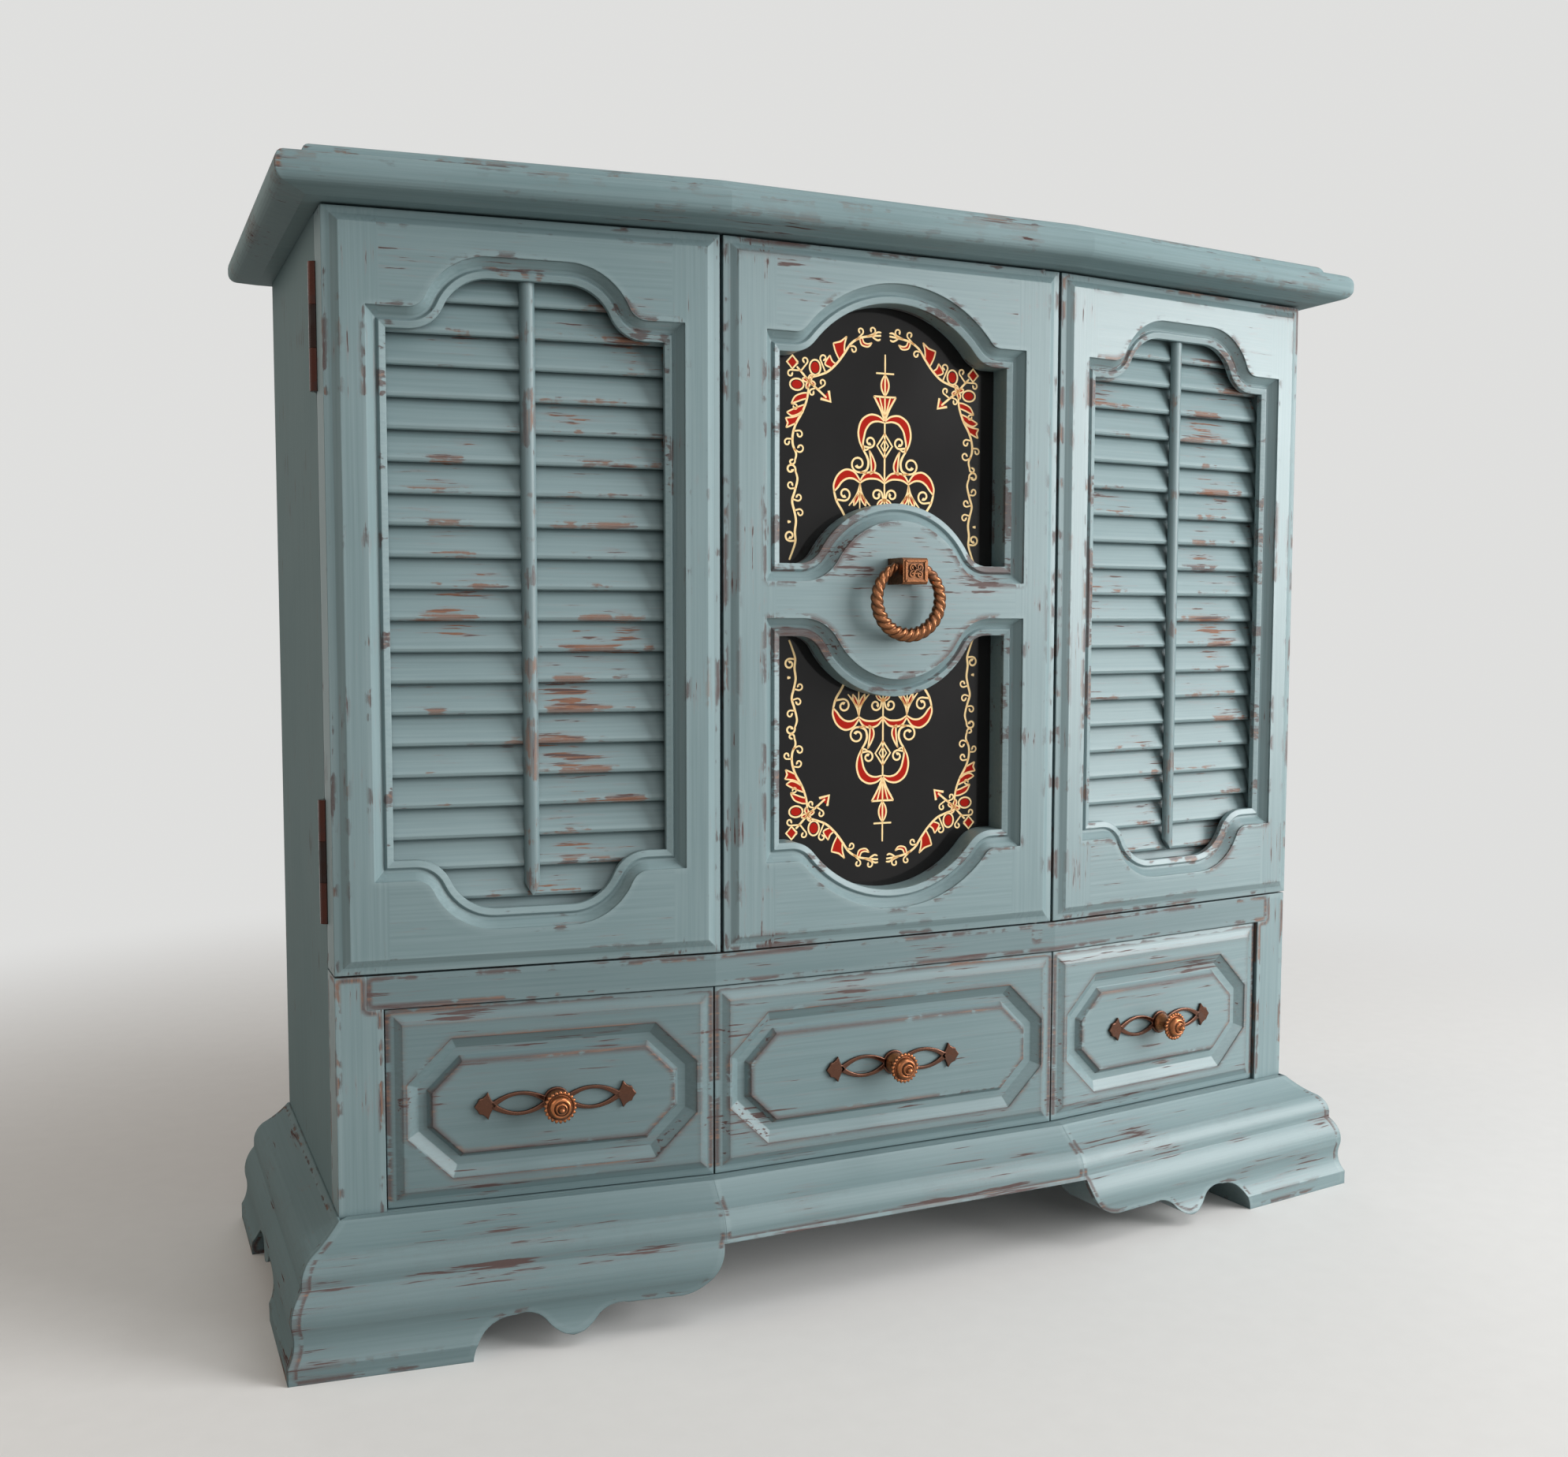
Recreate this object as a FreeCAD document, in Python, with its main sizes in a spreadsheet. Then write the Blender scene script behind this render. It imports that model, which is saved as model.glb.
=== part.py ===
"""A painted tabletop chest with a canted front: three doors over three drawers.

Frame: +Z up, the front faces -Y, and the origin is at the bottom centre of the
whole chest. Lengths are in millimetres. In the comments, "the face plane" is the
front face of the centre door, and a facet is one of the three faces of the front.
"""
import FreeCAD
import Part
import math
import os
import Sketcher
from FreeCAD import Placement, Rotation, Vector

doc = FreeCAD.newDocument("Chest")
sheet = doc.addObject("Spreadsheet::Sheet", "Sizes")


class Size(float):
    """A length that keeps the sheet expression it comes from."""

    def __new__(cls, number, text=None):
        made = float.__new__(cls, number)
        made.text = text if text is not None else repr(float(number))
        return made

    def join(self, sign, other, number):
        other_text = other.text if isinstance(other, Size) else repr(float(other))
        return Size(number, "(" + self.text + sign + other_text + ")")

    def __add__(self, other):
        return self.join(" + ", other, float(self) + float(other))

    def __sub__(self, other):
        return self.join(" - ", other, float(self) - float(other))

    def __mul__(self, other):
        return self.join(" * ", other, float(self) * float(other))

    def __truediv__(self, other):
        return self.join(" / ", other, float(self) / float(other))

    def __radd__(self, other):
        return Size(other) + self

    def __rsub__(self, other):
        return Size(other) - self

    def __rmul__(self, other):
        return self * other

    def __neg__(self):
        return Size(-float(self), "(0 - " + self.text + ")")


zero = Size(0)
row_of = {}


def cell(alias, number):
    """Write one plain number into the sheet and give it back as a Size."""
    row_of[alias] = len(row_of) + 1
    row = str(row_of[alias])
    sheet.set("A" + row, alias)
    sheet.set("B" + row, repr(float(number)))
    sheet.setAlias("B" + row, alias)
    sheet.recompute()
    return Size(sheet.get(alias), "Sizes." + alias)


# The whole chest
half_width = cell("half_width", 182.0)
carcass_depth = cell("carcass_depth", 139.0)
cant_depth = cell("cant_depth", 14.5)
door_bend = cell("door_bend", 63.0)
body_bend = cell("body_bend", 65.0)
base_bend = cell("base_bend", 67.0)
body_setback = cell("body_setback", 2.5)

# Heights, from the table upwards
base_height = cell("base_height", 41.0)
drawer_room = cell("drawer_room", 62.6)
rail_height = cell("rail_height", 10.4)
door_height = cell("door_height", 226.1)
door_clearance = cell("door_clearance", 0.7)
slab_thickness = cell("slab_thickness", 10.5)
cap_thickness = cell("cap_thickness", 4.0)

# Boards of the carcass
side_thickness = cell("side_thickness", 10.0)
back_thickness = cell("back_thickness", 5.0)
partition_thickness = cell("partition_thickness", 12.0)
partition_setback = cell("partition_setback", 17.0)
divider_thickness = cell("divider_thickness", 8.0)
divider_setback = cell("divider_setback", 15.4)
floor_thickness = cell("floor_thickness", 8.0)
carcass_foot = cell("carcass_foot", 27.0)
post_width = cell("post_width", 14.0)
rail_depth = cell("rail_depth", 26.0)
rail_tongue = cell("rail_tongue", 4.8)
shelf_thickness = cell("shelf_thickness", 6.0)
shelf_setback = cell("shelf_setback", 21.0)
guide_height = cell("guide_height", 9.0)
fit_clearance = cell("fit_clearance", 0.3)

# Top moulding
slab_overhang = cell("slab_overhang", 13.8)
slab_round = cell("slab_round", 3.6)
slab_bevel_width = cell("slab_bevel_width", 9.0)
slab_bevel_rise = cell("slab_bevel_rise", 2.2)
cap_overhang = cell("cap_overhang", 5.6)
cap_round = cell("cap_round", 3.0)

# Base moulding, as overhangs from the carcass and heights above the table
plinth_overhang = cell("plinth_overhang", 17.8)
plinth_height = cell("plinth_height", 5.0)
torus_overhang = cell("torus_overhang", 16.3)
torus_bottom = cell("torus_bottom", 15.5)
fillet_overhang = cell("fillet_overhang", 13.0)
fillet_bottom = cell("fillet_bottom", 26.0)
fillet_height = cell("fillet_height", 2.2)
ovolo_overhang = cell("ovolo_overhang", 9.6)
ovolo_top = cell("ovolo_top", 34.5)
cove_overhang = cell("cove_overhang", 0.6)
crest_setback = cell("crest_setback", 0.245)
scotia_bow = cell("scotia_bow", 1.2)
torus_bow = cell("torus_bow", 1.3)
ovolo_bow = cell("ovolo_bow", 0.85)
cove_bow = cell("cove_bow", 0.5)
apron_height = cell("apron_height", 25.0)
front_foot = cell("front_foot", 53.0)
side_front_foot = cell("side_front_foot", 47.0)
side_back_foot = cell("side_back_foot", 38.0)
block_width = cell("block_width", 16.0)
block_lift = cell("block_lift", 1.0)

# Doors
door_thickness = cell("door_thickness", 15.0)
door_joint = cell("door_joint", 1.2)
side_door_margin = cell("side_door_margin", 11.8)
centre_door_margin = cell("centre_door_margin", 14.1)
shoulder_margin = cell("shoulder_margin", 28.0)
edge_bevel_width = cell("edge_bevel_width", 4.5)
edge_bevel_depth = cell("edge_bevel_depth", 1.9)
edge_bevel_hollow = cell("edge_bevel_hollow", 0.5)
rail_half_band = cell("rail_half_band", 6.0)
moulding_width = cell("moulding_width", 5.8)
moulding_depth = cell("moulding_depth", 3.5)
moulding_quirk = cell("moulding_quirk", 0.7)
front_web = cell("front_web", 5.2)
rebate_margin = cell("rebate_margin", 10.0)
rebate_side_step = cell("rebate_side_step", 2.2)

# Louvres
slat_count = 21
slat_start = cell("slat_start", 12.0)
slat_ends = cell("slat_ends", 35.6)
slat_front = cell("slat_front", 6.6)
slat_rise = cell("slat_rise", 11.0)
slat_run = cell("slat_run", 4.6)
slat_thickness = cell("slat_thickness", 2.2)
slat_nose = cell("slat_nose", 0.7)
nose_share = 0.7
rod_half_width = cell("rod_half_width", 2.4)
rod_depth = cell("rod_depth", 2.2)
rod_lift = cell("rod_lift", 3.0)
rod_point = cell("rod_point", 4.0)

# Glass of the centre door
glass_front = cell("glass_front", 11.6)
glass_thickness = cell("glass_thickness", 2.0)
backing_thickness = cell("backing_thickness", 1.2)
glass_lap = cell("glass_lap", 4.0)

# Hinges of the side doors
hinge_gap = cell("hinge_gap", 0.6)
hinge_length = cell("hinge_length", 38.0)
hinge_inset = cell("hinge_inset", 13.8)
leaf_thickness = cell("leaf_thickness", 1.0)
leaf_width = cell("leaf_width", 8.8)
leaf_clearance = cell("leaf_clearance", 0.05)
knuckle_radius = cell("knuckle_radius", 2.0)
knuckle_room = cell("knuckle_room", 0.3)
knuckle_gap = cell("knuckle_gap", 0.1)
pin_radius = cell("pin_radius", 1.0)
pin_clearance = cell("pin_clearance", 0.05)
knuckle_count = 3

# Pivots of the centre door
pivot_inset = cell("pivot_inset", 5.0)
pivot_radius = cell("pivot_radius", 1.25)
pivot_reach = cell("pivot_reach", 6.0)
pivot_end_room = cell("pivot_end_room", 0.4)
seat_clearance = cell("seat_clearance", 0.02)

# Magnets and their strikes
magnet_width = cell("magnet_width", 4.0)
magnet_height = cell("magnet_height", 14.0)
magnet_length = cell("magnet_length", 6.0)
magnet_offset = cell("magnet_offset", 3.4)
strike_thickness = cell("strike_thickness", 1.0)

# Ring pull
ring_radius = cell("ring_radius", 11.9)
ring_wire = cell("ring_wire", 2.0)
ring_pin = cell("ring_pin", 1.2)
ring_setout = cell("ring_setout", 6.0)
ring_block_width = cell("ring_block_width", 9.2)
ring_block_height = cell("ring_block_height", 8.6)
ring_block_depth = cell("ring_block_depth", 10.5)
ring_block_above = cell("ring_block_above", 2.9)
ring_block_chamfer = cell("ring_block_chamfer", 0.8)
ring_side_gap = cell("ring_side_gap", 0.4)
ring_bolt = cell("ring_bolt", 1.5)
ring_bolt_reach = cell("ring_bolt_reach", 8.0)
ring_pin_lap = cell("ring_pin_lap", 1.0)

# Drawers
front_thickness = cell("front_thickness", 12.0)
front_gap = cell("front_gap", 0.6)
front_bevel_width = cell("front_bevel_width", 4.8)
front_bevel_depth = cell("front_bevel_depth", 1.5)
front_bevel_hollow = cell("front_bevel_hollow", 0.4)
octagon_side_margin = cell("octagon_side_margin", 6.0)
octagon_centre_margin = cell("octagon_centre_margin", 4.8)
octagon_top_margin = cell("octagon_top_margin", 10.0)
octagon_bottom_margin = cell("octagon_bottom_margin", 8.0)
octagon_corner = cell("octagon_corner", 13.5)
groove_width = cell("groove_width", 7.5)
groove_depth = cell("groove_depth", 2.4)
groove_outer_slope = cell("groove_outer_slope", 3.4)
groove_inner_slope = cell("groove_inner_slope", 1.6)
field_drop = cell("field_drop", 0.3)
box_side = cell("box_side", 6.0)
box_height = cell("box_height", 46.0)
box_back_room = cell("box_back_room", 7.5)
box_gap = cell("box_gap", 0.5)
bottom_thickness = cell("bottom_thickness", 3.0)
bottom_lift = cell("bottom_lift", 2.0)

# Drawer pulls
plate_thickness = cell("plate_thickness", 1.2)
plate_reach = cell("plate_reach", 25.6)
plate_disc = cell("plate_disc", 5.0)
plate_fleur = cell("plate_fleur", 4.4)
loop_start = cell("loop_start", 3.0)
loop_end = cell("loop_end", 20.6)
loop_bow = cell("loop_bow", 3.9)
loop_rim = cell("loop_rim", 1.5)
knob_radius = cell("knob_radius", 5.6)
knob_foot = cell("knob_foot", 3.4)
knob_neck = cell("knob_neck", 3.0)
knob_rim_height = cell("knob_rim_height", 6.2)
knob_rim = cell("knob_rim", 1.8)
knob_rim_swell = cell("knob_rim_swell", 0.8)
knob_dome = cell("knob_dome", 2.0)
knob_nipple = cell("knob_nipple", 1.3)
knob_nipple_height = cell("knob_nipple_height", 1.9)
knob_tip = cell("knob_tip", 0.6)
screw_radius = cell("screw_radius", 1.4)
screw_clearance = cell("screw_clearance", 0.1)
screw_reach = cell("screw_reach", 9.0)

overrun = cell("overrun", 3.0)

# Small round things have this many flat sides, and a hole for a round thing is drawn
# larger by the share, so that its flat sides clear what turns in it
round_sides = 16
round_steps = 5
hole_share = 1 / math.cos(math.pi / round_sides)
doc.recompute()

# Derived places, all measured from the face plane and the centre line
cant = math.atan(cant_depth / (half_width - door_bend))
cant_slope = cant_depth / (half_width - door_bend)
cant_stretch = Size(1 / math.cos(cant), "(1 / cos(atan(" + cant_slope.text + ")))")
bend_mitre = Size(math.tan(cant / 2), "tan(atan(" + cant_slope.text + ") / 2)")
corner_mitre = Size(math.tan(math.pi / 4 - cant / 2), "tan(45 deg - atan(" + cant_slope.text + ") / 2)")
drawer_top = base_height + drawer_room
deck_top = drawer_top + rail_height
door_bottom = deck_top + door_clearance
door_top = door_bottom + door_height
case_top = door_top + door_clearance
slab_top = case_top + slab_thickness
side_inner = half_width - side_thickness
back_inner = carcass_depth - back_thickness
post_inner = half_width - post_width
# The torus stands furthest forward, where the scrolls rise to it, and the top furthest back
middle_y = (carcass_depth + slab_overhang - torus_overhang + crest_setback) / 2
hinge_levels = (hinge_inset, door_height - hinge_inset - hinge_length)
slat_pitch = (door_height - slat_ends) / (slat_count - 1)


def facet_line(across, setback, bend):
    """The distance behind the face plane of a canted line at a place across."""
    return (across - bend) * cant_slope + setback


def side_front(across):
    """The line behind the door backs that the side panels' front edges follow."""
    return facet_line(across, (door_thickness + hinge_gap) * cant_stretch, door_bend)


def body_front(across):
    """The front line of posts, rail and drawers on the canted facets."""
    return facet_line(across, body_setback, body_bend)


def bind(thing, prop, size):
    """Set a property from a Size, by expression."""
    setattr(thing, prop, float(size))
    if isinstance(size, Size):
        thing.setExpression(prop, size.text)


def place(thing, across, back, up, turn=0.0, axis=Vector(0, 0, 1)):
    """Put an object at a place measured from the centre line and the face plane."""
    thing.Placement = Placement(Vector(across, back - middle_y, up), Rotation(axis, math.degrees(turn)))
    for letter, size in (("x", across), ("y", back - middle_y), ("z", up)):
        thing.setExpression(".Placement.Base." + letter, size.text)


def face_place(thing, side, across, setback, bend, up):
    """Put an object in the frame of a panel on a facet, turned with that facet.

    The frame's origin is on the panel's face at its middle, X runs to the right
    along the face and Y into the chest. The side is -1, 0 or 1.
    """
    if side == 0:
        place(thing, zero, setback, up)
        return
    place(thing, across * side, facet_line(across, setback, bend), up, cant, Vector(0, 0, side))
    thing.setExpression(".Placement.Rotation.Angle", "atan(" + cant_slope.text + ")")


def origin_plane(body, role):
    return [plane for plane in body.Origin.OriginFeatures if plane.Role == role][0]


def new_body(name):
    body = doc.addObject("PartDesign::Body", name)
    body.Label = name
    return body


def arc_radius(start, end, bow):
    """The radius of an arc over a chord with a given rise, as a Size."""
    chord_square = (end[0] - start[0]) * (end[0] - start[0]) + (end[1] - start[1]) * (end[1] - start[1])
    rise = bow if bow > 0 else -bow
    return chord_square / (rise * 8) + rise / 2


def arc_through(start, end, bow):
    """The point in the middle of an arc that bows to the left of its chord by bow."""
    run = Vector(end[0] - start[0], end[1] - start[1], 0)
    left = Vector(-run.y, run.x, 0).normalize()
    return Vector(start[0], start[1], 0) + run * 0.5 + left * float(bow)


def draw(body, plane, name, *paths, level=None):
    """Sketch closed outlines on one of the body's own planes, or at a level above it.

    A path is a list of (x, y) corners. A third value bows the edge that arrives at
    that corner: it is the arc's rise, to the left of the edge when positive.
    """
    sketch = body.newObject("Sketcher::SketchObject", name)
    sketch.AttachmentSupport = [(origin_plane(body, plane), "")]
    sketch.MapMode = "FlatFace"
    if level is not None:
        sketch.AttachmentOffset = Placement(Vector(0, 0, level), Rotation())
        sketch.setExpression(".AttachmentOffset.Base.z", level.text)

    def hold(kind, edge, vertex, size):
        index = sketch.addConstraint(Sketcher.Constraint(kind, -1, 1, edge, vertex, float(size)))
        if isinstance(size, Size) and size != 0:
            sketch.setExpression("Constraints[%d]" % index, size.text)

    def radius(edge, size):
        index = sketch.addConstraint(Sketcher.Constraint("Radius", edge, float(size)))
        sketch.setExpression("Constraints[%d]" % index, size.text)

    for path in paths:
        first = sketch.GeometryCount
        count = len(path)
        starts = []
        ends = []
        for number in range(count):
            start = path[number]
            end = path[(number + 1) % count]
            start_point = Vector(start[0], start[1], 0)
            end_point = Vector(end[0], end[1], 0)
            if len(end) == 2:
                edge = sketch.addGeometry(Part.LineSegment(start_point, end_point), False)
            else:
                through = arc_through(start, end, end[2])
                edge = sketch.addGeometry(Part.Arc(start_point, through, end_point), False)
            to_start = (sketch.getPoint(edge, 1) - start_point).Length
            to_end = (sketch.getPoint(edge, 2) - start_point).Length
            forward = to_start < to_end
            starts.append(1 if forward else 2)
            ends.append(2 if forward else 1)
        for number in range(count):
            edge = first + number
            following = first + (number + 1) % count
            sketch.addConstraint(Sketcher.Constraint("Coincident", edge, ends[number],
                                                     following, starts[(number + 1) % count]))
            hold("DistanceX", edge, starts[number], path[number][0])
            hold("DistanceY", edge, starts[number], path[number][1])
            end = path[(number + 1) % count]
            if len(end) == 3:
                radius(edge, arc_radius(path[number], end, end[2]))
    return sketch


def pad(body, sketch, length, backwards=False):
    feature = body.newObject("PartDesign::Pad", sketch.Name + "_pad")
    feature.Profile = sketch
    bind(feature, "Length", length)
    feature.Reversed = backwards
    return feature


def pocket(body, sketch, length=None, backwards=False):
    """Cut a sketch out of the body, right through both ways if no length is given."""
    feature = body.newObject("PartDesign::Pocket", sketch.Name + "_pocket")
    feature.Profile = sketch
    if length is None:
        feature.SideType = "Two sides"
        feature.Type = "ThroughAll"
        feature.Type2 = "ThroughAll"
    else:
        bind(feature, "Length", length)
        feature.Reversed = backwards
    return feature


def rectangle(x0, y0, x1, y1):
    return [(x0, y0), (x1, y0), (x1, y1), (x0, y1)]


def round_path(x, y, radius):
    """A small circle as corners of a regular polygon."""
    turns = [2 * math.pi * (number + 0.5) / round_sides for number in range(round_sides)]
    return [(x + radius * math.cos(turn), y + radius * math.sin(turn)) for turn in turns]


def box(name, across, back, up, width, depth, height):
    """A plain board between two places, from its left front lower corner."""
    made = doc.addObject("Part::Box", name)
    made.Label = name
    bind(made, "Length", width)
    bind(made, "Width", depth)
    bind(made, "Height", height)
    place(made, across, back, up)
    return made


def combine(kind, name, things):
    made = doc.addObject(kind, name)
    made.Label = name
    if kind == "Part::MultiFuse":
        made.Shapes = things
    elif kind == "Part::Compound":
        made.Links = things
    else:
        made.Base, made.Tool = things
    return made


def feature(name, shape):
    made = doc.addObject("Part::Feature", name)
    made.Label = name
    made.Shape = shape
    return made


def faceted(name, rings):
    """A small turned thing with flat faces between its rings of corners."""
    faces = [Part.Face(Part.makePolygon([*ring, ring[0]])) for ring in (rings[0], rings[-1])]
    for first, second in zip(rings, rings[1:]):
        for number in range(len(first)):
            after = (number + 1) % len(first)
            faces.append(Part.Face(Part.makePolygon([
                first[number], first[after], second[after], second[number], first[number]])))
    shell = Part.makeShell(faces)
    shell.sewShape()
    solid = Part.makeSolid(shell)
    if solid.Volume < 0:
        solid.reverse()
    return feature(name, solid)


nodes = []


def keep(*things):
    nodes.extend(things)


# Carcass

def plan_board(name, outline, up, height):
    """A board drawn in plan and padded upwards."""
    body = new_body(name)
    sketch = draw(body, "XY_Plane", name + "_plan", outline)
    pad(body, sketch, height)
    place(body, zero, zero, up)
    return body


def side_name(side):
    return "left" if side < 0 else "right"


for side in (-1, 1):
    panel = plan_board(side_name(side) + "_side", [
        (side * half_width, side_front(half_width)),
        (side * side_inner, side_front(side_inner)),
        (side * side_inner, carcass_depth),
        (side * half_width, carcass_depth),
    ], carcass_foot, case_top - carcass_foot)

    # Each hinge is let into the panel's front edge, with room round its knuckles
    recess_depth = (leaf_thickness + leaf_clearance - hinge_gap / 2) * cant_stretch
    leaf_across = half_width - leaf_width - hinge_gap / 2
    for number, level in enumerate(hinge_levels):
        low = door_bottom + level - carcass_foot - leaf_clearance
        recess = draw(panel, "XY_Plane", panel.Label + "_hinge_%d" % number, [
            ((half_width + overrun) * side, side_front(half_width + overrun) - overrun),
            (leaf_across * side, side_front(leaf_across) - overrun),
            (leaf_across * side, side_front(leaf_across) + recess_depth),
            ((half_width + overrun) * side, side_front(half_width + overrun) + recess_depth),
        ], level=low)
        pocket(panel, recess, hinge_length + leaf_clearance * 2, True)
        hinge_axis = facet_line(half_width, (door_thickness + hinge_gap / 2) * cant_stretch, door_bend)
        room = knuckle_radius + knuckle_room
        room_cut = draw(panel, "XY_Plane", panel.Label + "_knuckle_%d" % number, rectangle(
            (half_width + overrun) * side, hinge_axis - room, (half_width - room) * side, hinge_axis + room),
            level=low)
        pocket(panel, room_cut, hinge_length + leaf_clearance * 2, True)
    keep(panel)

    post = plan_board(side_name(side) + "_post", [
        (side * half_width, body_front(half_width)),
        (side * post_inner, body_front(post_inner)),
        (side * post_inner, side_front(post_inner)),
        (side * half_width, side_front(half_width)),
    ], carcass_foot, deck_top - carcass_foot)
    tongue_end = post_inner + rail_tongue
    notch = draw(post, "XZ_Plane", post.Label + "_notch", rectangle(
        side * (post_inner - overrun), drawer_top - carcass_foot,
        side * tongue_end, deck_top - carcass_foot + overrun))
    pocket(post, notch)
    keep(post)

front_rail = plan_board("front_rail", [
    (-tongue_end, body_front(tongue_end)),
    (-body_bend, body_setback),
    (body_bend, body_setback),
    (tongue_end, body_front(tongue_end)),
    (tongue_end, body_setback + rail_depth),
    (-tongue_end, body_setback + rail_depth),
], drawer_top, rail_height)
pivot_across = door_bend - door_joint / 2 - pivot_inset
pivot_hole = round_path(pivot_across, pivot_inset, (pivot_radius + seat_clearance) * hole_share)
hole = draw(front_rail, "XY_Plane", "rail_pivot_hole", pivot_hole, level=rail_height)
pocket(front_rail, hole, pivot_reach)
keep(front_rail)

floor_notch = [(post_inner, body_front(post_inner)),
               (post_inner, side_front(post_inner)),
               (side_inner, side_front(side_inner)),
               (side_inner, back_inner)]
keep(plan_board("floor_board", [
    *[(-x, y) for x, y in reversed(floor_notch)],
    (-body_bend, body_setback),
    (body_bend, body_setback),
    *floor_notch,
], base_height - floor_thickness, floor_thickness))

keep(box("deck", -side_inner, body_setback + rail_depth, drawer_top, side_inner * 2,
         back_inner - body_setback - rail_depth, rail_height))
keep(box("back_panel", -side_inner, back_inner, carcass_foot, side_inner * 2, back_thickness,
         case_top - carcass_foot))

shelf_width = door_bend * 2 - partition_thickness
shelf_spacing = (case_top - deck_top) / 3
shelves = [box("shelf_%d" % number, -shelf_width / 2, shelf_setback,
               deck_top + shelf_spacing * number, shelf_width, back_inner - shelf_setback, shelf_thickness)
           for number in (1, 2)]
keep(combine("Part::Compound", "centre_shelves", shelves))

dividers = [box("divider_%d" % number, side * body_bend - divider_thickness / 2, divider_setback,
                base_height, divider_thickness, back_inner - divider_setback, drawer_room)
            for number, side in enumerate((-1, 1))]
keep(combine("Part::Compound", "drawer_dividers", dividers))

guide_width = side_inner - post_inner
guide_front = side_front(side_inner)
guides = [box("guide_%d" % number, -side_inner if side < 0 else post_inner, guide_front, base_height,
              guide_width, back_inner - guide_front, guide_height)
          for number, side in enumerate((-1, 1))]
keep(combine("Part::Compound", "drawer_guides", guides))

blocks = []
for side in (-1, 1):
    across = -half_width if side < 0 else half_width - block_width
    for name, back in (("front", facet_line(half_width, body_setback + fit_clearance, base_bend)),
                       ("back", carcass_depth - block_width)):
        blocks.append(box(side_name(side) + "_" + name + "_block", across, back, block_lift,
                          block_width, block_width, carcass_foot - block_lift))
keep(combine("Part::Compound", "foot_blocks", blocks))


# Top: a bevelled and rounded slab with a thinner cap on it

def front_outline(reach):
    """The carcass outline in plan, pushed out by a reach on every side."""
    corner_across = half_width + reach
    bend_across = body_bend + bend_mitre * reach
    corner_back = facet_line(corner_across, -reach * cant_stretch, body_bend)
    return [
        (-corner_across, corner_back),
        (-bend_across, -reach),
        (bend_across, -reach),
        (corner_across, corner_back),
        (corner_across, carcass_depth + reach),
        (-corner_across, carcass_depth + reach),
    ]


def outline_board(name, up, levels):
    """A moulded board through the carcass outline at several (reach, height) levels."""
    wires = []
    for reach, level in levels:
        corners = [Vector(x, y - middle_y, up + level) for x, y in front_outline(reach)]
        wires.append(Part.makePolygon([*corners, corners[0]]))
    return feature(name, Part.makeLoft(wires, True, True))


def soft_corner(before, corner, after, radius):
    """Points along the arc that rounds a corner of a section."""
    corner = Vector(*corner, 0)
    first = (Vector(*before, 0) - corner).normalize()
    second = (Vector(*after, 0) - corner).normalize()
    half_angle = first.getAngle(second) / 2
    centre = corner + (first + second).normalize() * (radius / math.sin(half_angle))
    first = corner + first * (radius / math.tan(half_angle)) - centre
    second = corner + second * (radius / math.tan(half_angle)) - centre
    turn = math.pi - 2 * half_angle
    points = []
    for number in range(round_steps + 1):
        part = number * turn / round_steps
        point = centre + (first * math.sin(turn - part) + second * math.sin(part)) * (1 / math.sin(turn))
        points.append((point.x, point.y))
    return points


slab_section = [(slab_overhang - slab_bevel_width, 0.0), (slab_overhang, slab_bevel_rise),
                (slab_overhang, slab_thickness), (zero, slab_thickness)]
slab_levels = [slab_section[0], *soft_corner(*slab_section[:3], slab_round),
               *soft_corner(*slab_section[1:], slab_round)]
slab = outline_board("slab_solid", case_top, slab_levels)
keep(outline_board("top_cap", slab_top, [
    (cap_overhang, zero), *soft_corner((cap_overhang, zero), (cap_overhang, cap_thickness),
                                       (zero, cap_thickness), cap_round)]))


# Base moulding: five mitred boards with scroll-cut feet

def base_profile(inner, front):
    """The moulding's section as (outwards, up), with the inner face at a given place.

    The front boards reach back to the posts, so that their top is a narrow ledge.
    """
    return [
        (inner, zero),
        (plinth_overhang * front, zero),
        (plinth_overhang * front, plinth_height),
        (torus_overhang * front, torus_bottom, scotia_bow * front),
        (fillet_overhang * front, fillet_bottom, -torus_bow * front),
        (fillet_overhang * front, fillet_bottom + fillet_height),
        (ovolo_overhang * front, ovolo_top, -ovolo_bow * front),
        (cove_overhang * front, base_height, cove_bow * front),
        (inner, base_height),
    ]


# The scroll of a foot: along from the foot to the bend, up to the apron, and each arc's rise
scroll_shares = (
    (0.0, 0.0, None),
    (0.164, 0.472, 0.144),
    (0.284, 0.352, 0.064),
    (0.385, 0.168, -0.036),
    (0.485, 0.352, -0.036),
    (0.605, 0.452, 0.048),
    (0.82, 0.44, None),
    (1.0, 1.0, -0.152),
)
side_scroll_shares = (
    (0.0, 0.0, None),
    (0.22, 0.5, 0.12),
    (0.36, 0.52, 0.03),
    (0.5, 0.34, -0.05),
    (0.64, 0.52, -0.05),
    (0.78, 0.5, 0.03),
    (1.0, 0.0, 0.12),
)


def scroll(shares, start, length, height, flip):
    """The scroll's outline from one end, mirrored where flip is -1."""
    path = []
    for along_share, up_share, bow_share in shares:
        point = (start + length * (along_share * flip), height * up_share)
        if bow_share is not None:
            point += (height * (bow_share * flip),)
        path.append(point)
    return path


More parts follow.
